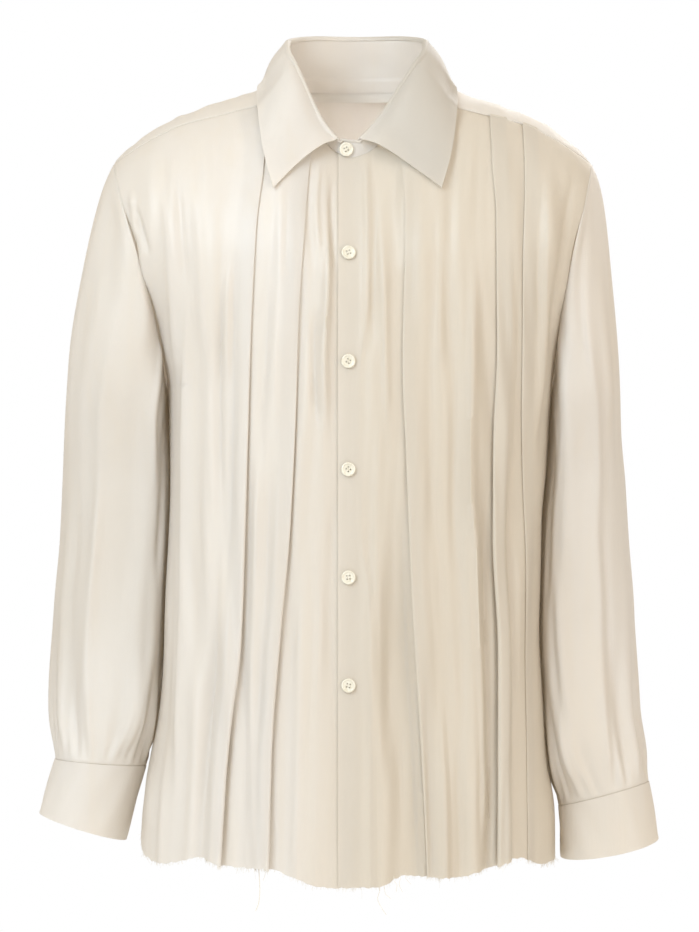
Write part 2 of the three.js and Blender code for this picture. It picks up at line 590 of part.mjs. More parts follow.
// A point of the cuff: `down` runs from its seam with the sleeve, 0, to its lower edge, 1.
function cuffPoint(hand, angle, down, grow = 0) {
  const size = CUFFS[hand < 0 ? 'right' : 'left'];
  const corner = (top, end) => [lerp(top[0], end[0], down), lerp(top[1], end[1], down)];
  const outer = corner(size.topOuter, size.endOuter);
  const inner = corner(size.topInner, size.endInner);
  const t = (1 - Math.cos(angle)) / 2;
  return new THREE.Vector3(
    hand * (lerp(outer[0], inner[0], t) + grow * Math.cos(angle)),
    RIDGE_Y + CUFF_BEHIND - (CUFF_DEEP + grow) * Math.sin(angle),
    lerp(outer[1], inner[1], t) - size.dip * down * Math.sin(angle),
  );
}

function sleeve(hand) {
  const grid = Array.from({ length: SLEEVE_AROUND }, (_, i) => {
    const angle = 2 * Math.PI * i / SLEEVE_AROUND;
    const start = armholePoint(hand, angle);
    const end = cuffPoint(hand, angle, 0);
    end.z += 2 * SEAM;
    const startShift = start.clone().sub(sleeveSection(hand, angle, start.z));
    const endShift = end.clone().sub(sleeveSection(hand, angle, end.z));
    const headSpan = lerp(HEAD_SPAN[0], HEAD_SPAN[1], (1 + Math.cos(angle)) / 2);
    return SLEEVE_ROWS.map((v) => {
      const point = sleeveSection(hand, angle, lerp(start.z, end.z, v));
      point.addScaledVector(startShift, (1 - smooth(v / headSpan)));
      point.addScaledVector(endShift, smooth((v - 1) / END_SPAN + 1) ** 2);
      const fullness = smooth((v - GATHERS.from) / GATHERS.grow) * smooth((1 - v) / GATHERS.end);
      const swell = GATHERS.height * fullness * Math.cos(GATHERS.count * angle);
      point.x += hand * swell * Math.cos(angle);
      point.y -= swell * Math.sin(angle);
      return point;
    });
  });
  return clothWall(grid, CLOTH, true);
}

// The cuff is one strip bent round, whose outer end laps over its inner end.
function cuff(hand) {
  const columns = CUFF_AROUND + 3;
  const grid = Array.from({ length: columns }, (_, i) => {
    const turn = i / (columns - 1);
    const angle = radians(CUFF_LAP.from + (360 + CUFF_LAP.turn) * turn);
    const lap = CUFF_LAP_LIFT * (smooth(1 - CUFF_LAP_FADE * (turn - CUFF_LAP_FULL))
      - smooth(1 - CUFF_LAP_FADE * (1 - CUFF_LAP_FULL - turn)));
    return [0, 0.5, 1].map((down) => cuffPoint(hand, angle, down, lap));
  });
  return clothWall(grid, CUFF_CLOTH);
}

// ---- collar --------------------------------------------------------------------------------------------
const COLLAR_STEP = 0.5;       // rows of the collar's table from one column to the next
const LEAF_ROWS = [0.16, 0.34, 0.54, 0.77, 1];
const ROLL_TURNS = [-90, -45, 0, 45, 90];
const BAND_ROWS = 4;
const BAND_FROM_SEAM = 1.3;    // distance of the band's lower edge from the neckline
const BAND_FROM_LEAF = 1.1;    // distance of its upper edge from the leaf's inner edge
// The band past the leaf's front end: place across the middle, and how much of its height is left.
const BAND_END = [{ x: 4, tall: 1 }, { x: -4, tall: 0.96 }, { x: -9, tall: 0.8 }, { x: -10.5, tall: 0.45 }];
const BAND_FRONT_TALL = 14;
const BAND_END_LIFT = 1.3;     // the band's ends are thicker than the fronts and lie further apart
const BAND_LIFT_ROWS = { from: 6, over: 3 };   // rows of the table over which its ends part
const CLEAR_PASSES = 6;        // steps in which a point is moved clear of the torso

const collarAt = Object.fromEntries(['round', 'foldX', 'foldY', 'foldZ', 'edgeX', 'edgeY', 'edgeZ', 'shift']
  .map((name) => [name, curveThrough(COLLAR.map((row, i) => [i, row[name]]))]));

// Moves a point out of the torso until it is `clear` from it.
function clearOfTorso(point, clear) {
  for (let pass = 0; pass < CLEAR_PASSES; pass += 1) {
    const side = point.y < RIDGE_Y ? -1 : 1;
    const across = Math.abs(point.x - middleAt(point.z));
    if (point.z > crown(across, side) - 1) {
      const lowest = ridgeAt(across) + RIDGE_CLEAR;
      if (Math.abs(point.y - RIDGE_Y) < NEAR_RIDGE) point.z = Math.max(point.z, lowest);
      return point;
    }
    const near = torsoPoint(point.x, point.z, side);
    const normal = torsoPoint(point.x, point.z, side, 1).sub(near);
    const distance = point.clone().sub(near).dot(normal);
    if (distance >= clear) return point;
    point.addScaledVector(normal, clear - distance);
  }
  return point;
}

// The fold of the collar at one station: its directions down the band and down the leaf.
function collarStation(hand, row) {
  const ring = necklinePoint(hand, collarAt.round(row));
  const fold = new THREE.Vector3(
    collarAt.shift(row) + hand * collarAt.foldX(row), collarAt.foldY(row), collarAt.foldZ(row));
  const edge = new THREE.Vector3(
    EDGE_SHIFT + hand * collarAt.edgeX(row), collarAt.edgeY(row), collarAt.edgeZ(row));
  if (row >= EDGE_ON_BODY_FROM - 1) {
    const onBody = torsoY(edge.x, edge.z, -1) - EDGE_CLEAR;
    edge.y = lerp(edge.y, onBody, clamp(row - EDGE_ON_BODY_FROM + 1, 0, 1));
  }
  const downBand = ring.clone().sub(fold).normalize();
  const downLeaf = edge.clone().sub(fold).normalize();
  const up = downBand.clone().add(downLeaf).negate().normalize();
  const out = downLeaf.clone().sub(downBand).normalize();
  const roll = (degrees) => fold.clone()
    .addScaledVector(out, FOLD_ROLL * Math.sin(radians(degrees)))
    .addScaledVector(up, FOLD_ROLL * (Math.cos(radians(degrees)) - 1));
  return { ring, edge, downBand, up, out, roll };
}

const collarRows = Array.from({ length: (COLLAR.length - 1) / COLLAR_STEP + 1 }, (_, i) => i * COLLAR_STEP);

function collarLeaf() {
  const column = (hand, row) => {
    const { edge, up, out, roll } = collarStation(hand, row);
    const last = roll(90);
    return [
      ...ROLL_TURNS.map(roll),
      ...LEAF_ROWS.map((v) => {
        const point = last.clone().lerp(edge, v);
        const swell = Math.sin(Math.PI * v);
        point.addScaledVector(out, LEAF_SWELL.out * swell).addScaledVector(up, LEAF_SWELL.up * swell);
        return clearOfTorso(point, LEAF_CLEAR);
      }),
    ];
  };
  const grid = [
    ...collarRows.slice(1).reverse().map((row) => column(-1, row)),
    ...collarRows.map((row) => column(1, row)),
  ];
  return clothWall(grid, COLLAR_CLOTH);
}

function collarBand() {
  const span = (low, high, lift, out) => Array.from({ length: BAND_ROWS }, (_, j) => (
    low.clone().lerp(high, j / (BAND_ROWS - 1)).addScaledVector(out, lift)));
  const column = (hand, row) => {
    const { ring, downBand, out, roll } = collarStation(hand, row);
    const low = ring.clone().addScaledVector(downBand, -BAND_FROM_SEAM);
    const high = roll(ROLL_TURNS[0]).addScaledVector(downBand, BAND_FROM_LEAF);
    const lift = hand * OVERLAP_LIFT * smooth((row - BAND_LIFT_ROWS.from) / BAND_LIFT_ROWS.over);
    return span(low, high, lift, out);
  };
  const front = new THREE.Vector3(0, -1, 0);
  const ends = (hand) => BAND_END.map(({ x, tall }) => {
    const degrees = Math.asin((x - hand * middleAt(SHOULDER_TOP)) / NECK_HALF) * 180 / Math.PI;
    const low = necklinePoint(hand, degrees);
    low.z += BAND_FROM_SEAM;
    const high = low.clone();
    high.z += BAND_FRONT_TALL * tall;
    return span(low, high, hand * OVERLAP_LIFT * BAND_END_LIFT, front);
  });
  const grid = [
    ...ends(-1).reverse(),
    ...collarRows.slice(1).reverse().map((row) => column(-1, row)),
    ...collarRows.map((row) => column(1, row)),
    ...ends(1),
  ];
  return clothWall(grid, COLLAR_CLOTH);
}

// ---- buttons -------------------------------------------------------------------------------------------
function circlePoints(x, y, radius, count) {
  return Array.from({ length: count }, (_, i) => new THREE.Vector2(
    x + radius * Math.cos(2 * Math.PI * i / count), y + radius * Math.sin(2 * Math.PI * i / count)));
}

// A flat disc with four holes for the thread.
function buttonShape() {
  const shape = new THREE.Shape(circlePoints(0, 0, BUTTON.radius, 16));
  for (const quarter of [45, 135, 225, 315]) {
    const x = BUTTON.holeRing * Math.cos(radians(quarter));
    const y = BUTTON.holeRing * Math.sin(radians(quarter));
    shape.holes.push(new THREE.Path(circlePoints(x, y, BUTTON.hole, 4).reverse()));
  }
  return new THREE.ExtrudeGeometry(shape, { depth: BUTTON.thick, bevelEnabled: false });
}

// A button whose back lies on `seat`, facing along `normal`.
function buttonOn(seat, normal) {
  const facing = new THREE.Quaternion().setFromUnitVectors(new THREE.Vector3(0, 0, 1), normal);
  return buttonShape().applyQuaternion(facing).translate(seat.x, seat.y, seat.z);
}

function frontButton(z) {
  const lift = OVERLAP_LIFT + CLOTH / 2 + BUTTON_GAP;
  const seat = torsoPoint(BUTTON_X, z, -1, lift);
  const normal = torsoPoint(BUTTON_X, z, -1, lift + 1).sub(seat);
  return buttonOn(seat, normal);
}

// The collar button sits on the outer end of the band.
function collarButton() {
  const degrees = Math.asin((COLLAR_BUTTON.x - middleAt(SHOULDER_TOP)) / NECK_HALF) * 180 / Math.PI;
  const seat = necklinePoint(1, degrees);
  seat.y -= OVERLAP_LIFT * BAND_END_LIFT + COLLAR_CLOTH / 2 + COLLAR_BUTTON.lift;
  seat.z = COLLAR_BUTTON.z;
  return buttonOn(seat, new THREE.Vector3(0, -1, 0));
}

// A cuff's button sits on the outer layer of its overlap, at the back of the wrist.
function cuffButton(hand) {
  const angle = radians(CUFF_LAP.from + CUFF_BUTTON_TURN * CUFF_LAP.turn);
  const lift = CUFF_LAP_LIFT + CUFF_CLOTH / 2 + BUTTON_GAP;
  const seat = cuffPoint(hand, angle, 0.5, lift);
  return buttonOn(seat, cuffPoint(hand, angle, 0.5, lift + 1).sub(seat).normalize());
}

// ---- the shirt -----------------------------------------------------------------------------------------
const meshes = [];
function addPiece(name, geometry, colour, roughness = 0.55) {
  const finish = new THREE.MeshStandardMaterial({ color: colour, roughness, metalness: 0 });
  const mesh = new THREE.Mesh(geometry, finish);
  mesh.name = name;
  meshes.push(mesh);
}

const SILK = 0xece4d6;
const LABEL_CLOTH = 0xd9d2c5;
const PEARL = 0xf3edd9;
addPiece('front_right', frontPanel(-1), SILK);
addPiece('front_left', frontPanel(1), SILK);
addPiece('back', backPanel(), SILK);
const yokeMiddle = yokeGrid();
addPiece('yoke', clothWall(yokeMiddle, CLOTH), SILK);
addPiece('collar_band', collarBand(), SILK);
addPiece('collar', collarLeaf(), SILK);
addPiece('sleeve_right', sleeve(-1), SILK);
addPiece('sleeve_left', sleeve(1), SILK);
addPiece('cuff_right', cuff(-1), SILK);
addPiece('cuff_left', cuff(1), SILK);
addPiece('label', label(yokeMiddle), LABEL_CLOTH, 0.8);
for (let i = 0; i < BUTTON.count; i += 1) {
  addPiece(`button_front_${i + 1}`, frontButton(BUTTON.first - i * BUTTON.pitch), PEARL, 0.25);
}

addPiece('button_collar', collarButton(), PEARL, 0.25);
addPiece('button_cuff_right', cuffButton(-1), PEARL, 0.25);
addPiece('button_cuff_left', cuffButton(1), PEARL, 0.25);

const shirt = new THREE.Group();
shirt.name = 'tuxedo_shirt';
shirt.add(...meshes);
export default shirt;
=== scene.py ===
"""The looks of a silk tuxedo shirt, worn and hollow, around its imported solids.

Shapes are worked out in millimetres, from the same sizes as the solids, and turned into metres as each
mesh is made. The front faces -Y and the wearer's left is +X. `hand` is -1 on the wearer's right and +1 on
the left, and `side` is -1 on the front of the torso and +1 on its back. A grid of points is an array of
columns, rows and coordinates.
"""
import math

import bpy
import numpy as np
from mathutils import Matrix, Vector


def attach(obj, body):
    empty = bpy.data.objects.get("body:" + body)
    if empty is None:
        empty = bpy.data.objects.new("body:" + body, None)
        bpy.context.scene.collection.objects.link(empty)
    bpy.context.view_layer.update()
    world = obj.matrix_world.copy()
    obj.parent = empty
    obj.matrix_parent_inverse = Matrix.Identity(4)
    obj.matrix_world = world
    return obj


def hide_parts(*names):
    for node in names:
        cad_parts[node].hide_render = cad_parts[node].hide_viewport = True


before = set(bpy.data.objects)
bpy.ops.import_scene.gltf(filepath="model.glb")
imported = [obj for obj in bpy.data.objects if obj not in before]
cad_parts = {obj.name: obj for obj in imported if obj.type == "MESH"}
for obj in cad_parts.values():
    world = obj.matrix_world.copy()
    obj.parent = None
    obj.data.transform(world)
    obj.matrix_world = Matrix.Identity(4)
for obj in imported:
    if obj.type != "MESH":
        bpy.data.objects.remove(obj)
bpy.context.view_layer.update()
MM = 0.001
SIDE_NAMES = {-1: "right", 1: "left"}

# ---- the photograph's frame ----------------------------------------------------------------------------
PHOTO_WIDTH = 699
MM_A_PIXEL = 0.95              # at the plane of the side seams
CAMERA_AWAY = 4500
CAMERA_Z = -333

# ---- driving sizes, millimetres ------------------------------------------------------------------------
CLOTH = 0.55                   # one layer of the silk
COLLAR_CLOTH = 1.5
CUFF_CLOTH = 1.6
SEAM = 0.4
RIDGE_Y = 5
FRONT_DEPTH = 125
BACK_DEPTH = 120
SECTION_POWER = 2.6
NECK_HALF = 70
NECK_FRONT = 71
NECK_BACK = 57
NECK_FRONT_CROWN = 6
NECK_BACK_CROWN = 63
RIDGE_TOP = 35
NECKLINE_END = 57
SHOULDER_TOP = -47
ARMPIT = -257
OVERLAP = 10.5
OVERLAP_LIFT = 0.95
YOKE_BACK_SEAM = -56
HIPS = -400

# ---- tables --------------------------------------------------------------------------------------------
TORSO = [  # height, middle, half width
    (80, 8, 260), (0, 4.5, 260), (-47, 3, 260), (-100, 4, 245), (-150, 6, 225), (-200, 8, 198),
    (-230, 9, 188), (-257, 9.5, 182), (-330, 9, 179), (-390, 6, 177), (-490, 2, 178), (-550, 1, 181),
    (-610, 0, 187), (-667, -1, 196), (-730, -2, 197),
]
SHOULDER = [  # distance from the middle, ridge height, depth of the fall, its power
    (0, 35, 180, 1.6), (70, 35, 170, 1.62), (94, 24, 162, 1.68), (127, 13, 150, 1.75),
    (160, 1.5, 140, 1.83), (187, -12, 130, 1.9), (209, -28, 124, 1.96), (227, -47, 120, 2),
    (260, -90, 120, 2),
]
ARMHOLE = [(-47, 227), (-92, 215.5), (-140, 202), (-200, 188.5), (-257, 182)]
YOKE_FRONT_SEAM = [(57, 11), (94, 5), (127, -2.5), (160, -10.5), (187, -23), (209, -36), (227, -47)]
FRONT_HEM = [
    (-200, -673), (-191, -698), (-176, -704), (-154, -701), (-138, -696), (-116, -704), (-75, -706),
    (-54, -713), (-24, -723), (24, -723), (50, -713), (94, -714), (134, -705), (155, -698),
    (184, -706), (198, -703),
]
BACK_HEM = [(-200, -672), (-186, -700), (-110, -706), (-40, -714), (30, -712), (110, -706), (198, -700)]

# Knife pleats: the line of the fold's edge [height, distance from the middle front], the width folded
# under and the spacing of its layers at the top and at the hem, and the slope beyond the fold.
PLEATS = {
    -1: [
        dict(at=[(-20, 35), (-90, 40), (-200, 47), (-300, 50), (-400, 55), (-480, 62), (-600, 71),
                 (-720, 74)],
             tuck=(15, 9), gap=(1.0, 4.2), fall=16),
        dict(at=[(5, 87), (-40, 79), (-110, 86), (-220, 91), (-400, 95), (-500, 99), (-620, 112),
                 (-720, 118)],
             tuck=(18, 10), gap=(1.0, 4.8), fall=12),
    ],
    1: [
        dict(at=[(-20, 44), (-50, 48), (-90, 52), (-240, 49), (-320, 52), (-480, 58), (-600, 66),
                 (-720, 72)],
             tuck=(12, 8), gap=(1.0, 3.2), fall=16),
        dict(at=[(5, 132), (-50, 133), (-100, 136), (-200, 136), (-330, 132), (-400, 131), (-500, 135),
                 (-720, 134)],
             tuck=(14, 8), gap=(1.0, 4.8), fall=8),
        dict(at=[(-5, 163), (-60, 164), (-140, 161), (-250, 160), (-400, 162), (-560, 165), (-720, 166)],
             tuck=(12, 6), gap=(1.0, 0.6), fall=8),
    ],
}
# Soft ridges of the fronts: line, half width, height at the top, the middle and the hem.
RIDGES = {
    -1: [
        ([(0, 22), (-300, 23), (-720, 36)], 7, (0, 2, 3)),
        ([(0, 128), (-300, 128), (-500, 133), (-620, 142), (-720, 150)], 9, (0, 5, 6)),
        ([(0, 158), (-300, 153), (-500, 155), (-720, 170)], 9, (0, 4, 5)),
    ],
    1: [
        ([(0, 24), (-300, 25), (-720, 30)], 8, (0, 3, 4)),
        ([(-60, 110), (-250, 107), (-500, 111), (-720, 116)], 11, (0, 5, 9)),
    ],
}
BACK_RIDGES = [(-0.8, 4), (-0.55, 7), (-0.24, 6), (0.08, 8), (0.38, 6), (0.7, 6)]   # share, height at the hem
BACK_RIDGE_SHARE = 0.07

CREASE_FADE = 0.3              # share of a crease's length over which it dies away, at each end
# Creases: line [height, distance], half widths on the side of the middle and on the far side, height,
# and its own fade.
CREASES = {
    -1: [
        ([(-180, 32), (-240, 33), (-300, 30)], (3, 4), -3.8),
        ([(-90, 22), (-160, 20), (-240, 24), (-310, 21)], (3, 3.5), 4.2),
        ([(-60, 15), (-100, 16), (-160, 13)], (2.5, 3), -3.5),
        ([(-40, 28), (-90, 31), (-150, 27)], (3, 3), 2.9),
        ([(-340, 14), (-440, 17), (-580, 16)], (4, 6), -2.9),
        ([(-380, 38), (-520, 46), (-900, 54)], (9, 4), 4.5),
        ([(-40, 62), (-120, 64), (-230, 68), (-300, 72)], (4, 5), 2.9),
        ([(-280, 84), (-400, 86), (-600, 93)], (3.5, 4), 3.8),
        ([(-300, 73), (-450, 77), (-640, 88)], (5, 4), -3.2),
        ([(-140, 112), (-200, 113), (-260, 112)], (3, 3), 3.2),
        ([(-160, 119), (-280, 120), (-370, 119)], (3, 3), -3.2),
        ([(-100, 105), (-280, 107), (-460, 110)], (3, 3.5), -3.2),
        ([(-150, 150), (-400, 151), (-680, 160)], (12, 3), 4.8),
        ([(-60, 140), (-130, 138), (-240, 134)], (5, 6), 2.9),
        ([(-480, 122), (-560, 128), (-690, 137)], (4, 5), -3.2),
        ([(-70, 205), (-125, 199)], (3, 4), 3.8),
        ([(-85, 203), (-140, 185)], (3, 4), -3.8),
        ([(-45, 178), (-120, 169), (-260, 160)], (6, 4), 3.8),
        ([(-60, 160), (-110, 156), (-180, 150)], (4, 4), -2.6),
        ([(-560, 168), (-640, 172), (-900, 178)], (4, 4), 3.2),
    ],
    1: [
        ([(-20, 16.6), (-176, 16), (-272, 7), (-342, 8), (-392, 10), (-430, 16), (-456, 18.5),
          (-494, 20.3), (-640, 20.3), (-900, 21)], (9, 2), 4.2, 0.05),
        ([(-330, 44), (-480, 52), (-600, 59), (-720, 65), (-1000, 66)], (24, 4), -10.5),
        ([(-95, 30), (-200, 32), (-330, 36)], (2.5, 5), 4.2),
        ([(-60, 24), (-150, 23), (-240, 21)], (3, 3), -2.9),
        ([(-120, 114), (-359, 109), (-398, 113), (-469, 117.5), (-587, 122), (-710, 124)],
         (2.5, 7), 5.8, 0.15),
        ([(-220, 98), (-359, 98), (-469, 104), (-640, 109)], (6, 5), -4.8),
        ([(-260, 127), (-450, 127), (-560, 129), (-1000, 130)], (12, 3), -6.6),
        ([(-390, 155), (-480, 156), (-580, 155)], (3, 3), 2.9),
        ([(-48, 184), (-130, 181), (-220, 178), (-315, 173)], (3, 11), 7.7),
        ([(-60, 8), (-120, 12), (-190, 9)], (3, 3), -2.6),
        ([(-150, 74), (-300, 75), (-440, 80)], (6, 5), -2.6),
        ([(-60, 88), (-160, 84), (-260, 82)], (4, 4), 2.6),
        ([(-300, 146), (-440, 148), (-560, 151)], (4, 4), -3.2),
        ([(-520, 84), (-620, 87), (-1000, 92)], (5, 3), 4.5),
        ([(-480, 70), (-600, 73), (-1000, 76)], (4, 6), -3.5),
        ([(-560, 100), (-640, 102), (-900, 104)], (4, 4), -3.2),
        ([(-50, 211), (-110, 201), (-190, 188), (-270, 181)], (5, 4), -3.8),
        ([(-600, 143), (-660, 146), (-900, 150)], (4, 3), 3.2),
    ],
}
SLEEVE = [  # height, outer edge right, outer edge left, half depth, behind, apart
    (-47, 226, 229, 62, 0, 3), (-62, 233, 235, 66, 0, 3), (-90, 242, 241, 70, 1, 3),
    (-147, 255, 248, 74, 3, 3), (-218, 267, 255.5, 74, 8, 2.6), (-257, 270, 258, 73, 14, 2.0),
    (-304, 273, 260, 70, 26, 1.6), (-345, 275, 264, 68, 34, 0.6), (-404, 278, 268, 66, 37, 0.4),
    (-475, 284, 273.5, 62, 35, 0.5), (-560, 285, 275, 57, 21, 2), (-610, 283, 280, 50, 6, 3.2),
    (-660, 283, 284, 44, -6, 3.2),
]
CUFFS = {
    -1: dict(top_outer=(279, -611), top_inner=(193, -617),
             end_outer=(293.5, -662), end_inner=(212, -687), dip=2),
    1: dict(top_outer=(283.5, -632), top_inner=(198.5, -655),
            end_outer=(292.5, -686), end_inner=(200.5, -703), dip=6),
}
CUFF_DEEP = 36
CUFF_BEHIND = -8
CUFF_LAP_FROM = 250
CUFF_LAP_TURN = 28
CUFF_LAP_LIFT = 1.25
CUFF_COLUMNS, CUFF_ROWS = 150, 30
CUFF_EDGE = 0.08               # share of the cuff's height over which its softness dies away
GATHER_COUNT = 9
GATHER_HEIGHT = 2.6
# Creases of the sleeves: line [height, degrees round from the outer side over the front], half widths in
# degrees, height.
SLEEVE_CREASES = {
    -1: [
        ([(-70, 30), (-130, 48), (-200, 62)], (9, 12), -3.2),
        ([(-80, 75), (-150, 92), (-240, 100)], (8, 10), 3.5),
        ([(-150, 127), (-230, 123), (-360, 120)], (5, 7), 3.8),
        ([(-330, 77), (-450, 74), (-590, 70)], (9, 7), 4.1),
        ([(-240, 100), (-350, 98), (-500, 95)], (7, 8), -3.2),
        ([(-340, 50), (-450, 48), (-590, 46)], (8, 8), -3.2),
        ([(-270, 150), (-360, 140), (-450, 132)], (9, 9), -3.5),
        ([(-120, 215), (-260, 228), (-420, 236)], (12, 12), 3.5),
        ([(-200, 262), (-360, 270), (-540, 276)], (11, 11), -3.5),
        ([(-140, 320), (-300, 312), (-500, 306)], (12, 10), 3.2),
    ],
    1: [
        ([(-60, 40), (-120, 60), (-200, 80), (-280, 98)], (8, 9), -3.5),
        ([(-90, 30), (-200, 46), (-330, 60)], (10, 9), 3.2),
        ([(-200, 110), (-320, 104), (-460, 96)], (9, 10), 3.2),
        ([(-330, 78), (-470, 70), (-600, 66)], (9, 9), -2.7),
        ([(-420, 118), (-520, 108), (-610, 96)], (9, 8), 3.2),
        ([(-280, 150), (-380, 140), (-480, 136)], (9, 9), -3.5),
        ([(-130, 210), (-280, 224), (-430, 232)], (12, 12), -3.5),
        ([(-210, 255), (-380, 262), (-560, 270)], (11, 11), 3.5),
        ([(-120, 318), (-320, 310), (-540, 300)], (12, 10), -3.2),
    ],
}
COLLAR = [  # round, fold x, y, z, edge x, y, z, shift
    (180, 0, 57, 79, 0, 77, 32, 8), (150, 32, 50, 79, 43, 71, 26, 8), (124, 54, 36, 77, 75, 53, 23, 8),
    (103, 65, 15, 72, 90, 19, 29, 7), (84, 64, -11, 62, 92.5, -14, 20, 6.5),
    (66, 56, -35, 47, 92.5, 0, 1, 5.5), (50, 45, -50, 27, 90.5, 0, -21, 3.5),
    (35, 34, -59, 6, 87, 0, -42, 1.5), (21, 22, -65, -13, 82.5, 0, -60, 0), (9, 10, -71, -27, 78, 0, -75, -1),
]
EDGE_ON_BODY_FROM = 5
EDGE_SHIFT = 7.5
LEAF_CLEAR = 4.2
RIDGE_CLEAR = 2.6
RIDGE_NEAR = 25                # the leaf is lifted over the shoulders' ridge within this distance of it
CLEAR_PASSES = 6
EDGE_CLEAR = 1.3               # the leaf's edge on the body stands off by this many times LEAF_CLEAR
FOLD_ROLL = 2.6
BAND_FROM_SEAM = -0.4
BAND_FROM_LEAF = 1.1
BAND_END = [(4, 1), (-4, 0.96), (-9, 0.8), (-10.5, 0.45)]   # place across the middle, share of the height
BAND_FRONT_TALL = 14
BAND_END_LIFT = 1.3
BUTTON_FIRST = -136
BUTTON_PITCH = 100
BUTTON_X = -1
BUTTON_GAP = 0.3
COLLAR_BUTTON = dict(x=-3, z=-36.8, lift=0.9)
LABEL_X = (-37, 47)
LABEL_Z = (16.6, 26.2)
LABEL_IN = 1.2                 # from the neckline in towards the neck
LABEL_CLOTH_THICK = 0.5
LABEL_COLUMNS, LABEL_ROWS = 41, 13
LABEL_WAVE, LABEL_WAVE_LONG = 0.5, 9
LABEL_LEAN, LABEL_LEAN_FROM, LABEL_LEAN_OVER = 0.9, 20, 6      # its sewn edge leans back to the seam


# ---- interpolation -------------------------------------------------------------------------------------
def smooth(t):
    c = np.clip(t, 0, 1)
    return c * c * (3 - 2 * c)


def lerp(a, b, t):
    return a + (b - a) * t


def inside(t, start, end=None):
    """1 between 0 and 1, but rising from 0 over the share at the start and falling to 0 at the end."""
    return smooth(t / start) * smooth((1 - t) / (end or start))


def curve(points):
    """A smooth curve through (at, value) points, flat beyond its ends, with no overshoot."""
    rows = sorted(points)
    at = np.array([row[0] for row in rows], float)
    value = np.array([row[1] for row in rows], float)
    slope = np.diff(value) / np.diff(at)
    tangent = np.concatenate([slope[:1], np.zeros(len(rows) - 2), slope[-1:]])
    for i in range(1, len(rows) - 1):
        before, after = slope[i - 1], slope[i]
        tangent[i] = 0 if before * after <= 0 else 2 * before * after / (before + after)

    def read(x):
        x = np.clip(x, at[0], at[-1])
        i = np.clip(np.searchsorted(at, x, side="right") - 1, 0, len(at) - 2)
        span = at[i + 1] - at[i]
        t = (x - at[i]) / span
        t2, t3 = t * t, t * t * t
        return ((2 * t3 - 3 * t2 + 1) * value[i] + (t3 - 2 * t2 + t) * span * tangent[i]
                + (3 * t2 - 2 * t3) * value[i + 1] + (t3 - t2) * span * tangent[i + 1])
    return read


def column_of(rows, value, key=0):
    return curve([(row[key], row[value]) for row in rows])


middle_at = column_of(TORSO, 1)
half_at = column_of(TORSO, 2)
ridge_at = column_of(SHOULDER, 1)
reach_at = column_of(SHOULDER, 2)
power_at = column_of(SHOULDER, 3)
armhole_at = curve(ARMHOLE)
yoke_front_at = curve(YOKE_FRONT_SEAM)
front_hem_at = curve(FRONT_HEM)
back_hem_at = curve(BACK_HEM)


# ---- the torso's surface -------------------------------------------------------------------------------
def crown(across, side):
    out = np.minimum(across / NECK_HALF, 1)
    front = (NECK_FRONT_CROWN - RIDGE_TOP) * (1 - out ** 2) ** 2
    back = (NECK_BACK_CROWN - RIDGE_TOP) * (1 - out ** 2.2) ** 1.5
    return ridge_at(across) + np.where(np.asarray(side) < 0, front, back)


def depth_of(side):
    return np.where(np.asarray(side) < 0, FRONT_DEPTH, BACK_DEPTH)


def section_full(across, half):
    return np.clip(1 - (across / half) ** SECTION_POWER, 0, 1) ** (1 / SECTION_POWER)


def torso_y(x, z, side):
    half = half_at(z)
    across = np.minimum(np.abs(x - middle_at(z)), half)
    fall = np.clip((crown(across, side) - z) / reach_at(across), 0, 1)
    power = power_at(across)
    full = (1 - (1 - fall) ** power) ** (1 / power)
    return RIDGE_Y + side * depth_of(side) * full * section_full(across, half)


def shoulder_z(across, y):
    side = np.where(np.asarray(y) < RIDGE_Y, -1, 1)
    full = np.abs(y - RIDGE_Y) / depth_of(side) / section_full(across, TORSO[0][2])
    power = power_at(across)
    fall = 1 - (1 - np.clip(full, 0, 1) ** power) ** (1 / power)
    return crown(across, side) - reach_at(across) * fall


def unit(v):
    return v / np.maximum(np.linalg.norm(v, axis=-1, keepdims=True), 1e-9)


def torso_normal(x, z, side):
    slope_x = (torso_y(x + 1, z, side) - torso_y(x - 1, z, side)) / 2
    slope_z = (torso_y(x, z + 1, side) - torso_y(x, z - 1, side)) / 2
    side = np.broadcast_to(side, np.shape(slope_x))
    return unit(np.stack([-slope_x * side, side * np.ones_like(slope_x), -slope_z * side], axis=-1))


def torso_point(x, z, side, lift=0.0):
    point = np.stack(np.broadcast_arrays(x, torso_y(x, z, side), z), axis=-1).astype(float)
    return point + torso_normal(x, z, side) * np.asarray(lift)[..., None]


def neckline_point(hand, degrees):
    angle = np.radians(degrees)
    across = NECK_HALF * np.sin(angle)
    reach = np.where(np.cos(angle) > 0, NECK_FRONT, NECK_BACK)
    y = RIDGE_Y - reach * np.cos(angle)
    z = shoulder_z(np.abs(across), y)
    return np.stack([middle_at(z) + hand * across, y, z], axis=-1)


def neckline_z(across):
    return neckline_point(1, np.degrees(np.arcsin(across / NECK_HALF)))[..., 2]


# ---- folds ---------------------------------------------------------------------------------------------
def crease_lift(rows, s, z):
    """Soft troughs and ridges: each runs along its own line, and dies away at both ends."""
    total = np.zeros(np.broadcast(s, z).shape)
    for line, half, height, *own_fade in rows:
        top, bottom = line[0][0], line[-1][0]
        t = (top - z) / (top - bottom)
        off = s - curve(line)(z)
        width = np.where(off < 0, *half)
        total = total + height * inside(t, *own_fade or [CREASE_FADE]) * np.exp(-(off / width) ** 2)
    return total


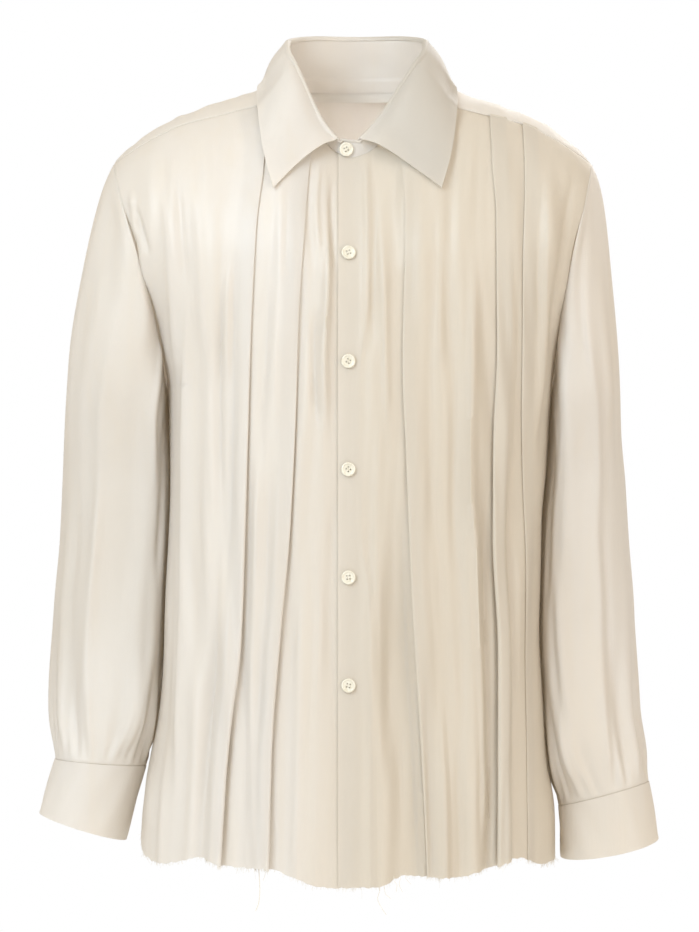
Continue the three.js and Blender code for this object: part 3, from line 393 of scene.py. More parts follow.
def ripples(seed, s, z, waves, height, long=(260, 700)):
    """Fine uneven ripples that run down the cloth: sums of waves that drift and come and go."""
    rng = np.random.default_rng(seed)
    total = np.zeros(np.broadcast(s, z).shape)
    for wave in waves:
        phase, drift_phase, gate_phase = rng.uniform(0, 2 * math.pi, 3)
        drift_long, gate_long = rng.uniform(*long, 2)
        drift = 0.35 * wave * np.sin(2 * math.pi * z / drift_long + drift_phase)
        gate = 0.5 + 0.5 * np.sin(2 * math.pi * (z + 3 * s) / gate_long + gate_phase)
        total = total + wave * gate ** 2 * np.sin(2 * math.pi * (s + drift) / wave + phase)
    return height * total / max(waves)


# ---- meshes --------------------------------------------------------------------------------------------
def grid_normals(grid, around=False):
    if around:
        along = np.roll(grid, -1, axis=0) - np.roll(grid, 1, axis=0)
    else:
        wide = np.concatenate([grid[:1], grid, grid[-1:]])
        along = wide[2:] - wide[:-2]
    tall = np.concatenate([grid[:, :1], grid, grid[:, -1:]], axis=1)
    up = tall[:, 2:] - tall[:, :-2]
    return unit(np.cross(along, up))


def outward(grid, around=False):
    """Normals that point away from the middle of the grid."""
    normals = grid_normals(grid, around)
    away = grid - grid.reshape(-1, 3).mean(axis=0)
    return normals * (1 if np.sum(normals * away) > 0 else -1)


def placed(name, data):
    item = bpy.data.objects.new(name, data)
    bpy.context.scene.collection.objects.link(item)
    return item


def new_object(name, points, faces, material):
    mesh = bpy.data.meshes.new(name)
    mesh.from_pydata((np.asarray(points) * MM).tolist(), [], faces)
    mesh.materials.append(material)
    return placed(name, mesh)


def grid_lengths(grid):
    """Distances across and down the cloth, measured along its middle row and column."""
    lines = grid[:, grid.shape[1] // 2], grid[grid.shape[0] // 2]
    return [np.concatenate([[0], np.cumsum(np.linalg.norm(np.diff(line, axis=0), axis=1))])
            for line in lines]


def cloth_wall(name, grid, thick, material, around=False):
    """A closed thin shell round a grid of middle points, with its cloth measured out in a UV map."""
    columns, rows = grid.shape[:2]
    normals = outward(grid, around)
    points = np.concatenate([(grid + normals * thick / 2).reshape(-1, 3),
                             (grid - normals * thick / 2).reshape(-1, 3)])
    spans = columns if around else columns - 1
    i, j = np.meshgrid(np.arange(spans), np.arange(rows - 1), indexing="ij")
    i, j = i.ravel(), j.ravel()
    nxt = (i + 1) % columns
    inner = columns * rows
    quads = np.stack([i * rows + j, nxt * rows + j, nxt * rows + j + 1, i * rows + j + 1], axis=1)
    faces = [quads, quads[:, ::-1] + inner]
    k = np.arange(spans)
    rims = [(k * rows + row, (k + 1) % columns * rows + row, flip) for row, flip in ((0, 1), (rows - 1, -1))]
    if not around:
        m = np.arange(rows - 1)
        rims += [(column * rows + m, column * rows + m + 1, flip)
                 for column, flip in ((0, -1), (columns - 1, 1))]
    for here, there, flip in rims:
        faces.append(np.stack([here, inner + here, inner + there, there], axis=1)[:, ::flip])
    faces = np.concatenate(faces)
    a, b, c, d = (points[faces[:, n]] for n in range(4))
    volume = np.sum(a * np.cross(b, c)) + np.sum(a * np.cross(c, d))
    if volume < 0:
        faces = faces[:, ::-1]
    piece = new_object(name, points, faces.tolist(), material)
    across, down = grid_lengths(grid)
    uv = np.stack(np.meshgrid(across, down, indexing="ij"), axis=-1).reshape(-1, 2) * MM
    uv = np.concatenate([uv, uv])
    layer = piece.data.uv_layers.new(name="cloth")
    index = np.zeros(len(piece.data.loops), int)
    piece.data.loops.foreach_get("vertex_index", index)
    layer.data.foreach_set("uv", uv[index].ravel().astype(np.float32))
    piece.data.shade_smooth()
    piece.data.set_sharp_from_angle(angle=math.radians(70))
    return piece


def turn_in(grid, edge, steps, around=False):
    """Adds rows or columns past an edge that run under the neighbour: (onward, inward) distances."""
    normals = outward(grid, around)
    pick = {"top": (slice(None), -1), "bottom": (slice(None), 0), "last": (-1,), "first": (0,)}[edge]
    near = {"top": (slice(None), -2), "bottom": (slice(None), 1), "last": (-2,), "first": (1,)}[edge]
    onward = unit(grid[pick] - grid[near])
    added = [grid[pick] + onward * on - normals[pick] * inward for on, inward in steps]
    if edge == "top":
        return np.concatenate([grid, np.stack(added, axis=1)], axis=1)
    if edge == "bottom":
        return np.concatenate([np.stack(added[::-1], axis=1), grid], axis=1)
    if edge == "last":
        return np.concatenate([grid, np.stack(added)])
    return np.concatenate([np.stack(added[::-1]), grid])


SEAM_UNDER = [(0.2, 0.15), (0.4, 0.4), (0.7, 0.8), (2.6, 1.1)]     # the edge that runs under
SEAM_OVER = [(0.25, 0.1), (0.5, 0.35), (0.55, 0.9)]                # the edge that lies over


# ---- materials -----------------------------------------------------------------------------------------
# Colours are linear red, green and blue.
IVORY_TONES = ((0.88, 0.845, 0.82), (0.845, 0.795, 0.74), (0.855, 0.785, 0.70))   # light, shade, warm
# painted shade: the darker, warmer colour the fronts turn to towards the wearer's left, the side turned from
# the key lamp
PAINTED_SHADE_FRONT = (0.76, 0.69, 0.595)
# painted shade: the darker colour the collar's leaf turns to on the wearer's left, the side turned from the
# key lamp
PAINTED_SHADE_COLLAR = (0.69, 0.65, 0.60)
GLOW = (0.92, 0.875, 0.785)    # light that comes through the silk
GLOW_SHADE = (0.88, 0.82, 0.71)
SHEEN = (1.0, 0.96, 0.9, 1)
ROUGHNESS_VARIES = 0.08
PEARL_LIGHT = (0.80, 0.76, 0.66)
PEARL_SHADE = (0.70, 0.645, 0.52)
THREAD_LIGHT = (0.88, 0.84, 0.76)
THREAD_SHADE = (0.74, 0.68, 0.58)
LABEL_TONES = ((0.86, 0.83, 0.79), (0.82, 0.79, 0.75), (0.84, 0.80, 0.75))


def node_material(name):
    material = bpy.data.materials.new(name)
    material.use_nodes = True
    tree = material.node_tree
    tree.nodes.clear()
    output = add_node(tree, "OutputMaterial")
    shader = add_node(tree, "BsdfPrincipled")
    tree.links.new(shader.outputs[0], output.inputs[0])
    return material, tree, shader, output


def feed(tree, socket, value):
    """Gives an input a value, or links an output to it."""
    if isinstance(value, bpy.types.NodeSocket):
        tree.links.new(value, socket)
    else:
        socket.default_value = value


def set_node(tree, node, **settings):
    """Sets a node's own properties, and its inputs by their names."""
    for key, value in settings.items():
        if key in node.bl_rna.properties:
            setattr(node, key, value)
        else:
            feed(tree, node.inputs[key.replace("_", " ")], value)
    return node


def add_node(tree, kind, **settings):
    return set_node(tree, tree.nodes.new("ShaderNode" + kind), **settings)


def noise(tree, vector, scale=1.0, stretch=None, detail=3.0, roughness=0.5):
    if stretch:
        vector = add_node(tree, "Mapping", Vector=vector, Scale=stretch).outputs[0]
    node = add_node(tree, "TexNoise", Vector=vector, Scale=scale, Detail=detail, Roughness=roughness)
    return node.outputs["Fac"]


def mix_colours(tree, factor, low, high, low_at=0.35, high_at=0.65):
    """Two colours, or a colour output and a colour, mixed by a factor output between two levels."""
    ramp = add_node(tree, "MapRange", From_Min=low_at, From_Max=high_at, Value=factor)
    mix = add_node(tree, "Mix", data_type="RGBA", Factor=ramp.outputs[0])
    for socket, colour in ((mix.inputs[6], low), (mix.inputs[7], high)):
        feed(tree, socket, (*colour, 1) if isinstance(colour, tuple) else colour)
    return mix.outputs[2]


def mix_shaders(tree, factor, first, second):
    mix = add_node(tree, "MixShader")
    for socket, value in zip(mix.inputs, (factor, first.outputs[0], second.outputs[0])):
        feed(tree, socket, value)
    return mix.outputs[0]


def bump(tree, height, distance, strength, **normal):
    node = add_node(tree, "Bump", Height=height, Distance=distance, Strength=strength, **normal)
    return node.outputs[0]


def maths(tree, operation, *values):
    node = add_node(tree, "Math", operation=operation)
    for socket, value in zip(node.inputs, values):
        feed(tree, socket, value)
    return node.outputs[0]


def weave(tree, uv, threads):
    """Height of a plain weave with that many threads a metre, from the cloth's own measure."""
    split = add_node(tree, "SeparateXYZ", Vector=uv)
    waves = [maths(tree, "SINE", maths(tree, "MULTIPLY", output, threads * math.pi))
             for output in split.outputs[:2]]
    return maths(tree, "MULTIPLY", *waves)


def silk(name, light, shade, warm, roughness=0.37, threads=1500.0, see_through=0.35, painted_shade=None):
    """Silk in three tones, with painted shade if asked for: the last argument gives where along x, in metres,
    the colour turns how far to which darker, warmer colour, shade painted on the side turned from the key
    lamp.
    """
    material, tree, shader, output = node_material(name)
    uv = add_node(tree, "UVMap", uv_map="cloth").outputs[0]
    place = add_node(tree, "TexCoord").outputs["Object"]
    clouds = noise(tree, place, stretch=(7.0, 7.0, 1.6))
    slubs = noise(tree, uv, stretch=(520.0, 14.0, 1.0), roughness=0.6)
    streaks = noise(tree, place, stretch=(60.0, 60.0, 2.4), detail=2.0)
    colour = mix_colours(tree, clouds, shade, light)
    colour = mix_colours(tree, streaks, colour, warm, 0.5, 1.1)
    colour = mix_colours(tree, slubs, colour, shade, 0.55, 1.4)
    # painted shade: towards +x the colour is mixed more and more to the darker, warmer one given
    if painted_shade:
        start, end, most, deep = painted_shade
        split = add_node(tree, "SeparateXYZ", Vector=place)
        share = add_node(tree, "MapRange", interpolation_type="SMOOTHSTEP", Value=split.outputs[0],
                         From_Min=start, From_Max=end, To_Max=most)
        colour = mix_colours(tree, share.outputs[0], colour, deep, 0.0, 1.0)
    rough = add_node(tree, "MapRange", Value=slubs,
                     To_Min=roughness - ROUGHNESS_VARIES, To_Max=roughness + ROUGHNESS_VARIES)
    crumple = noise(tree, place, stretch=(90.0, 90.0, 22.0), detail=4.0, roughness=0.55)
    normal = bump(tree, weave(tree, uv, threads), 0.00012, 0.35)
    normal = bump(tree, slubs, 0.0003, 0.25, Normal=normal)
    normal = bump(tree, crumple, 0.0009, 0.35, Normal=normal)
    set_node(tree, shader, Base_Color=colour, Roughness=rough.outputs[0], Normal=normal,
             Specular_IOR_Level=0.75, Sheen_Weight=0.08, Sheen_Roughness=0.45, Sheen_Tint=SHEEN)
    glow_colour = mix_colours(tree, clouds, GLOW_SHADE, GLOW)
    glow = add_node(tree, "BsdfTranslucent", Color=glow_colour, Normal=normal)
    feed(tree, output.inputs[0], mix_shaders(tree, see_through, shader, glow))
    return material


def pearl_material():
    material, tree, shader, _ = node_material("pearl")
    place = add_node(tree, "TexCoord").outputs["Object"]
    swirl = noise(tree, place, stretch=(420.0, 420.0, 160.0))
    rough = add_node(tree, "MapRange", To_Min=0.16, To_Max=0.3, Value=swirl)
    set_node(tree, shader, Base_Color=mix_colours(tree, swirl, PEARL_SHADE, PEARL_LIGHT),
             Roughness=rough.outputs[0], Normal=bump(tree, swirl, 0.0002, 0.2),
             Coat_Weight=0.5, Coat_Roughness=0.12)
    return material


def thread_material():
    material, tree, shader, _ = node_material("thread")
    place = add_node(tree, "TexCoord").outputs["Object"]
    twist = noise(tree, place, stretch=(2500.0, 2500.0, 2500.0), detail=2.0)
    set_node(tree, shader, Base_Color=mix_colours(tree, twist, THREAD_SHADE, THREAD_LIGHT),
             Normal=bump(tree, twist, 0.0001, 0.3), Roughness=0.6, Sheen_Weight=0.2)
    return material


SILK = silk("silk", *IVORY_TONES)
# painted shade on the fronts, darker and warmer towards the wearer's left
SILK_FRONT = silk("silk_front", *IVORY_TONES, painted_shade=(-0.06, 0.03, 0.85, PAINTED_SHADE_FRONT))
# painted shade on the collar's leaf, darker towards the wearer's left
SILK_COLLAR = silk("silk_collar", *IVORY_TONES, painted_shade=(-0.01, 0.04, 1.0, PAINTED_SHADE_COLLAR))
LABEL_CLOTH = silk("label_cloth", *LABEL_TONES, roughness=0.62, threads=2200.0)
PEARL = pearl_material()
THREAD = thread_material()


# ---- fronts --------------------------------------------------------------------------------------------
FRONT_ROWS = 220
FRONT_STEP = 2.4               # spacing of the fronts' columns at the hips
FRONT_TOP = 20                 # height from which the fronts' ridges and folds change on the way down
FRONT_LONG = 730               # height over which they do
SIDE_COLUMNS = 46              # columns from the last pleat to the side seam
ROW_POWER = 1.1                # rows lie closer together towards the hem
SEAM_PASSES = 25               # passes that settle a column's ends on the seam and on the hem
FIRST_HEM = -700.0
LAP_FADE = 12
FOLD_TURNS = [-90, -60, -30, 0, 30, 60, 90]
GAP_OPENS = (1.15, 0.1)        # pace and delay with which a fold's layers part on the way down
SINK_FADES = (4, 0.2)          # pace and delay with which a fold rises out of the cloth
RIDGE_MIDDLE = 0.4             # share of the way down at which a ridge has its middle height
RIPPLES_SETTLE = 60            # distance from a seam over which ripples grow
CREASES_SETTLE = 25
FRONT_RIPPLES = ((11, 17, 27, 43), 1.5)      # lengths of the waves, height
PLACKET_RIPPLES = 0.25         # share of the ripples that is left under the buttons
FRAY = dict(high=1.1, reach=210, steps=260)
PLACKET_FLAT = 7               # the cloth lies flat under the buttons to here, and is loose
PLACKET_FADE = 14              # this much further from the middle front


def front_top_at(across):
    slope = neckline_z(min(across, NECKLINE_END) + 1) - neckline_z(min(across, NECKLINE_END))
    if across >= NECKLINE_END:
        return yoke_front_at(across) - 2 * SEAM
    return neckline_z(across) - 2 * SEAM * math.hypot(1, slope)


def down_front(z):
    return np.clip((FRONT_TOP - z) / FRONT_LONG, 0, 1)


def ridge_lift(ridges, s, z):
    total = 0
    down = down_front(z)
    for line, half, (top, middle, hem) in ridges:
        upper = lerp(top, middle, smooth(down / RIDGE_MIDDLE))
        lower = lerp(middle, hem, smooth((down - RIDGE_MIDDLE) / (1 - RIDGE_MIDDLE)))
        height = np.where(down < RIDGE_MIDDLE, upper, lower)
        total = total + height * np.exp(-((s - curve(line)(z)) / half) ** 2)
    return total


def pleat_columns(pleat):
    line = curve(pleat["at"])

    def gap(z):
        return lerp(*pleat["gap"], smooth(down_front(z) * GAP_OPENS[0] - GAP_OPENS[1]))

    def tuck(z):
        return lerp(*pleat["tuck"], smooth(down_front(z)))

    def sink(z):
        return -gap(z) * (1 - smooth(down_front(z) * SINK_FADES[0] - SINK_FADES[1]))

    def turn(offset, level, degrees):
        def at(z):
            radius = gap(z) / 2
            reach = radius * math.cos(math.radians(degrees))
            s = line(z) + radius + (tuck(z) + reach if offset > 0 else -reach)
            return s, sink(z) + level * gap(z) + radius * math.sin(math.radians(degrees))
        return at

    return [
        lambda z: (line(z), sink(z)),
        *[turn(1, 0.5, degrees) for degrees in FOLD_TURNS],
        *[turn(-1, 1.5, degrees) for degrees in FOLD_TURNS],
        lambda z: (line(z) + tuck(z), sink(z) + 2 * gap(z)),
        lambda z: (line(z) + tuck(z) + pleat["fall"] / 2, sink(z) / 2 + gap(z)),
        lambda z: (line(z) + tuck(z) + pleat["fall"], 0 * z),
    ]


def between(a, b, t):
    return lambda z: tuple(lerp(p, q, t) for p, q in zip(a(z), b(z)))


def hem_fray(x, seed):
    """The raw edge's small steps."""
    steps = np.random.default_rng(seed).uniform(-1, 1, FRAY["steps"])
    return FRAY["high"] * np.interp(x, np.linspace(-FRAY["reach"], FRAY["reach"], FRAY["steps"]), steps)


def upright(s):
    """A column at one distance from the middle front, flat on the torso."""
    return lambda z: (s + 0 * z, 0 * z)


def side_edge(z):
    return np.where(z > ARMPIT, armhole_at(z) - 2 * SEAM, half_at(z))


def turn_at(across, z):
    """How far round the torso's section a distance from its middle lies."""
    return np.arcsin(np.clip(across / half_at(z), 0, 1) ** (SECTION_POWER / 2))


def across_at(turn, z):
    return half_at(z) * np.sin(turn) ** (2 / SECTION_POWER)


def front_columns(hand):
    """Functions of height that give a column's distance from the middle front and its lift."""
    groups = [[upright(s) for s in (-OVERLAP, 0, OVERLAP)]]
    groups += [pleat_columns(pleat) for pleat in PLEATS[hand]]
    hips = np.array(HIPS, float)
    groups.sort(key=lambda group: float(group[0](hips)[0]))
    controls = [column for group in groups for column in group]
    last = controls[-1]

    def side_column(share):
        def at(z):
            low = turn_at(last(z)[0] - hand * middle_at(z), z)
            turn = lerp(low, turn_at(side_edge(z), z), share)
            return hand * middle_at(z) + across_at(turn, z), 0 * z
        return at

    columns = [controls[0]]
    for a, b in zip(controls, controls[1:]):
        (sa, la), (sb, lb) = a(hips), b(hips)
        count = max(1, round(math.hypot(float(sb - sa), float(lb - la)) / FRONT_STEP))
        columns += [between(a, b, k / count) for k in range(1, count + 1)]
    return columns + [side_column(k / SIDE_COLUMNS) for k in range(1, SIDE_COLUMNS + 1)]


def front_grid(hand):
    grid = []
    rows = 1 - (1 - np.linspace(0, 1, FRONT_ROWS + 1)) ** ROW_POWER
    for column in front_columns(hand):
        top, hem = float(SHOULDER_TOP), FIRST_HEM
        for _ in range(SEAM_PASSES):
            s = float(column(np.array(top))[0])
            across = min(abs(s - hand * float(middle_at(top))), YOKE_FRONT_SEAM[-1][0])
            top = float(front_top_at(across))
            hem = float(front_hem_at(hand * float(column(np.array(hem))[0])))
        hem += float(hem_fray(float(column(np.array(hem))[0]), 5 + hand))
        z = lerp(hem, top, rows)
        s, lift = column(z)
        lap = hand * OVERLAP_LIFT * (1 - smooth((s - OVERLAP) / LAP_FADE))
        lift = lift + ridge_lift(RIDGES[hand], s, z) + lap
        settled = smooth((top - z) / RIPPLES_SETTLE)
        loose = smooth((s - PLACKET_FLAT) / PLACKET_FADE)
        lift = lift + loose * crease_lift(CREASES[hand], s, z) * smooth((top - z) / CREASES_SETTLE)
        lift = lift + lerp(PLACKET_RIPPLES, 1, loose) * settled * ripples(20 + hand, s, z, *FRONT_RIPPLES)
        point = torso_point(hand * s, z, -1, lift)
        point[:, 1] = np.minimum(point[:, 1], RIDGE_Y - SEAM)
        grid.append(point)
    return np.stack(grid)


def front(hand, grid):
    grid = turn_in(grid, "top", SEAM_UNDER)
    grid = turn_in(grid, "last", SEAM_UNDER)
    return cloth_wall("silk_front_" + SIDE_NAMES[hand], grid, CLOTH, SILK_FRONT)


# ---- back and yoke -------------------------------------------------------------------------------------
BACK_COLUMNS = 150
BACK_ROWS = 190
YOKE_SEAM_STEPS = [226.2, 212, 195, 175, 155, 130, 105, 80, 57]
YOKE_NECK_STEPS = [74, 95, 116, 138, 159, 180]
YOKE_FINE = 8                  # columns of the yoke's shell to one of its solid's
YOKE_ROWS = 48
YOKE_EDGE = 0.15               # share of the yoke's rows over which its ripples die away
YOKE_RIPPLES = ((16, 27, 45), 0.9, (120, 300))
BACK_RIPPLES = ((9, 14, 22, 37, 58), 2.2)
BACK_PASSES = 15               # passes that settle a column's end on the hem
BACK_RIDGES_GROW = 250         # distance below the yoke over which the back's ridges grow
ARMPIT_EASE = 55               # the back's ridges follow the armhole from this far above the armpit
BACK_CREASES = [
    ([(-80, -150), (-220, -138), (-380, -128)], (9, 12), 3.0),
    ([(-60, -60), (-260, -52), (-480, -48)], (10, 8), -2.6),
    ([(-60, 36), (-240, 30), (-420, 34)], (8, 11), 2.8),
    ([(-70, 105), (-200, 112), (-360, 118)], (9, 9), -2.6),
    ([(-90, 165), (-200, 152), (-330, 140)], (9, 12), 2.8),
    ([(-300, -90), (-460, -96), (-640, -104)], (9, 8), -2.8),
    ([(-340, 84), (-500, 80), (-690, 86)], (8, 10), -2.8),
    ([(-420, -18), (-560, -14), (-700, -20)], (8, 9), -2.6),
]


def back_grid():
    shares = np.linspace(-1, 1, BACK_COLUMNS + 1)
    rows = np.linspace(0, 1, BACK_ROWS + 1)
    grid = []
    for share in shares:
        def x_at(z):
            turn = abs(share) * turn_at(side_edge(z), z)
            return middle_at(z) + np.sign(share) * across_at(turn, z)

        hem = FIRST_HEM
        for _ in range(BACK_PASSES):
            hem = float(back_hem_at(float(x_at(np.array(hem)))))
        hem += float(hem_fray(float(x_at(np.array(hem))), 9))
        z = lerp(hem, YOKE_BACK_SEAM - SEAM, rows)
        x = x_at(z)
        down = smooth((YOKE_BACK_SEAM - z) / BACK_RIDGES_GROW)
        widest = turn_at(side_edge(z), z)
        place = share * widest / lerp(math.pi / 2, widest, smooth((z - ARMPIT) / ARMPIT_EASE))
        lift = sum(height * down * np.exp(-((place - at) / BACK_RIDGE_SHARE) ** 2)
                   for at, height in BACK_RIDGES)
        settled = smooth((YOKE_BACK_SEAM - z) / RIPPLES_SETTLE)
        lift = lift + crease_lift(BACK_CREASES, x, z) * settled
        lift = lift + settled * ripples(31, x, z, *BACK_RIPPLES)
        point = torso_point(x, z, 1, lift)
        point[:, 1] = np.maximum(point[:, 1], RIDGE_Y + SEAM)
        grid.append(point)
    return np.stack(grid)


def back(grid):
    for edge in ("top", "first", "last"):
        grid = turn_in(grid, edge, SEAM_OVER if edge != "top" else SEAM_UNDER)
    return cloth_wall("silk_back", grid, CLOTH, SILK)


def turn_over(across, z, side):
    fall = np.clip((crown(across, side) - z) / reach_at(across), 0, 1)
    return side * np.arccos((1 - fall) ** (power_at(across) / 2))


def yoke_start(place):
    """Distance from the middle and turn over the shoulder where a column starts; 0 is the shoulder point."""
    seams = len(YOKE_SEAM_STEPS) - 1
    if place <= seams:
        across = float(np.interp(place, range(seams + 1), YOKE_SEAM_STEPS))
        return across, float(turn_over(across, yoke_front_at(across) + SEAM, -1))
    steps = [float(np.degrees(np.arcsin(NECKLINE_END / NECK_HALF))), *YOKE_NECK_STEPS]
    degrees = float(np.interp(place - seams, range(len(steps)), steps))
    point = neckline_point(1, degrees)
    across = NECK_HALF * math.sin(math.radians(degrees))
    return across, float(turn_over(across, point[2], -1 if degrees < 90 else 1))


YOKE_LAST = len(YOKE_SEAM_STEPS) - 1 + len(YOKE_NECK_STEPS)


def yoke_column(hand, place, rows):
    """A column of the yoke, at `rows` from 0, its front or neck edge, to 1, its back seam."""
    across, turn = yoke_start(place)
    seam_z = YOKE_BACK_SEAM + SEAM
    end_across = float(armhole_at(seam_z) - 2 * SEAM) * (1 - place / YOKE_LAST)
    end_turn = float(turn_over(end_across, seam_z, 1))
    acrosses = lerp(across, end_across, rows)
    turns = lerp(turn, end_turn, rows)
    sides = np.where(turns < 0, -1, 1)
    z = crown(acrosses, sides) - reach_at(acrosses) * (1 - np.cos(turns) ** (2 / power_at(acrosses)))
    x = middle_at(z) + hand * acrosses
    return np.stack([x, torso_y(x, z, sides), z], axis=-1)


def yoke():
    places = np.linspace(0, YOKE_LAST, YOKE_LAST * YOKE_FINE + 1)
    rows = np.linspace(0, 1, YOKE_ROWS + 1)
    halves = {hand: [yoke_column(hand, place, rows) for place in places] for hand in (-1, 1)}
    grid = np.stack(halves[-1] + halves[1][::-1][1:])
    normals = outward(grid)
    x, y = grid[..., 0], grid[..., 1]
    j = np.linspace(0, 1, grid.shape[1])[None, :]
    grid = grid + normals * (inside(j, YOKE_EDGE) * ripples(44, x, y, *YOKE_RIPPLES))[..., None]
    for edge in ("bottom", "top", "first", "last"):
        grid = turn_in(grid, edge, SEAM_OVER)
    return cloth_wall("silk_yoke", grid, CLOTH, SILK)


def label():
    """A bare label that hangs from the back of the neck, sewn on by its upper edge."""
    points = []
    for x in np.linspace(*LABEL_X, LABEL_COLUMNS):
        across = x - float(middle_at(LABEL_Z[0]))
        y = RIDGE_Y + NECK_BACK * math.sqrt(1 - (across / NECK_HALF) ** 2) - LABEL_IN
        z = np.linspace(*LABEL_Z, LABEL_ROWS)
        wave = LABEL_WAVE * np.sin(x / LABEL_WAVE_LONG) * (z - LABEL_Z[1]) / (LABEL_Z[0] - LABEL_Z[1])
        lean = LABEL_LEAN * smooth((z - LABEL_LEAN_FROM) / LABEL_LEAN_OVER)
        points.append(np.stack([x + 0 * z, y + wave + lean, z], axis=-1))
    return np.stack(points)


# ---- sleeves and cuffs ---------------------------------------------------------------------------------
SLEEVE_AROUND = 168
SLEEVE_ROWS = 150
INNER_POWER = 4.4              # the sleeve's side by the torso is squarer than its outer side
OUTER_POWER = 2.1
INNER_FORWARD = 11             # the sleeve's side by the torso hangs this far forward, its outer side back
HEAD_SPAN = (0.16, 0.45)
ARMPIT_GAP = 1.7
END_SPAN = 0.16
FULL_FROM, FULL_OVER, FULL_END = 0.72, 0.16, 0.07      # shares of the sleeve that the gathers swell over
CLOSE_FROM, CLOSE_OVER, CLOSE_END = 0.8, 0.18, 0.02    # and the small waves beside the cuff
EASE = 0.05                    # share of the sleeve over which creases die away, at both ends
SMALL_WAVES = (5, 13, 19, 27)  # waves in a turn
LONG_WAVES = (                 # waves in a turn, height, length, start
    (7, 0.5, 900, 0.4), (11, 0.45, -700, 1.9), (16, 0.3, 500, 3.1),
)
sleeve_outer_at = {-1: column_of(SLEEVE, 1), 1: column_of(SLEEVE, 2)}
sleeve_deep_at = column_of(SLEEVE, 3)
sleeve_behind_at = column_of(SLEEVE, 4)
sleeve_apart_at = column_of(SLEEVE, 5)


def armhole_point(hand, angle):
    up = (1 + np.cos(angle)) / 2
    z = lerp(ARMPIT, SHOULDER_TOP, up)
    clear = lerp(ARMPIT_GAP, SEAM / 2, up ** 0.5)
    x = middle_at(z) + hand * (armhole_at(z) + clear)
    y = torso_y(middle_at(z) + hand * armhole_at(z), z, np.where(np.sin(angle) < 0, 1, -1))
    return np.stack([x, y, z], axis=-1)


def sleeve_section(hand, angle, z):
    outer = sleeve_outer_at[hand](z)
    inner = hand * middle_at(z) + np.where(z > ARMPIT, armhole_at(z), half_at(z)) + sleeve_apart_at(z)
    c, d = math.cos(angle), math.sin(angle)
    square = 2 / lerp(INNER_POWER, OUTER_POWER, float(smooth((c + 0.4) / 0.8)))
    out = math.copysign(abs(c) ** square, c)
    ahead = math.copysign(abs(d) ** square, d)
    s = (outer + inner) / 2 + (outer - inner) / 2 * out
    y = RIDGE_Y + sleeve_behind_at(z) - sleeve_deep_at(z) * ahead + INNER_FORWARD * out
    return np.stack(np.broadcast_arrays(hand * s, y, z), axis=-1)


def cuff_point(hand, angle, down, grow=0.0):
    size = CUFFS[hand]
    outer = [lerp(a, b, down) for a, b in zip(size["top_outer"], size["end_outer"])]
    inner = [lerp(a, b, down) for a, b in zip(size["top_inner"], size["end_inner"])]
    t = (1 - np.cos(angle)) / 2
    x = hand * (lerp(outer[0], inner[0], t) + grow * np.cos(angle))
    y = RIDGE_Y + CUFF_BEHIND - (CUFF_DEEP + grow) * np.sin(angle)
    z = lerp(outer[1], inner[1], t) - size["dip"] * down * np.sin(angle)
    return np.stack(np.broadcast_arrays(x, y, z), axis=-1)


def sleeve_grid(hand):
    rng = np.random.default_rng(60 + hand)
    waves = [(count, rng.uniform(0, 2 * math.pi), rng.uniform(0.25, 0.6)) for count in SMALL_WAVES]
    grid = []
    for angle in 2 * math.pi * np.arange(SLEEVE_AROUND) / SLEEVE_AROUND:
        start = armhole_point(hand, angle)
        end = cuff_point(hand, angle, 0.0)
        end = end + np.array([0, 0, 2 * SEAM])
        start_shift = start - sleeve_section(hand, angle, start[2])
        end_shift = end - sleeve_section(hand, angle, end[2])
        head = lerp(*HEAD_SPAN, (1 + math.cos(angle)) / 2)
        v = np.linspace(0, 1, SLEEVE_ROWS + 1)
        z = lerp(start[2], end[2], v)
        point = sleeve_section(hand, angle, z)
        point = point + start_shift * (1 - smooth(v / head))[:, None]
        point = point + end_shift * (smooth((v - 1) / END_SPAN + 1) ** 2)[:, None]
        full = smooth((v - FULL_FROM) / FULL_OVER) * smooth((1 - v) / FULL_END)
        swell = GATHER_HEIGHT * full * math.cos(GATHER_COUNT * angle)
        close = smooth((v - CLOSE_FROM) / CLOSE_OVER) * smooth((1 - v) / CLOSE_END)
        swell = swell + close * sum(size * np.cos(count * angle + phase) for count, phase, size in waves)
        degrees = math.degrees(angle) % 360
        ends = inside(v, EASE)
        swell = swell + ends * crease_lift(SLEEVE_CREASES[hand], degrees, z)
        swell = swell + ends * sum(height * np.sin(count * angle + 2 * math.pi * z / long + phase)
                                   for count, height, long, phase in LONG_WAVES)
        point[:, 0] += hand * swell * math.cos(angle)
        point[:, 1] -= swell * math.sin(angle)
        grid.append(point)
    return np.stack(grid)


def sleeve(hand):
    grid = sleeve_grid(hand)
    grid = turn_in(grid, "bottom", SEAM_OVER, around=True)
    grid = turn_in(grid, "top", SEAM_UNDER, around=True)
    return cloth_wall("silk_sleeve_" + SIDE_NAMES[hand], grid, CLOTH, SILK, around=True)


def cuff(hand):
    rows = np.linspace(0, 1, CUFF_ROWS)
    fade = inside(rows, CUFF_EDGE)
    grid = []
    for t in np.linspace(0, 1, CUFF_COLUMNS):
        angle = math.radians(CUFF_LAP_FROM + (360 + CUFF_LAP_TURN) * t)
        lap = CUFF_LAP_LIFT * (smooth(1 - 4 * (t - 0.1)) - smooth(1 - 4 * (0.9 - t)))
        soft = 0.5 * np.sin(math.pi * rows) * np.sin(5 * angle + 3 * rows)
        soft = soft + 0.25 * np.sin(11 * angle + 5 * rows)
        grid.append(cuff_point(hand, angle, rows, lap + soft * fade))
    return cloth_wall("silk_cuff_" + SIDE_NAMES[hand], np.stack(grid), CUFF_CLOTH, SILK)


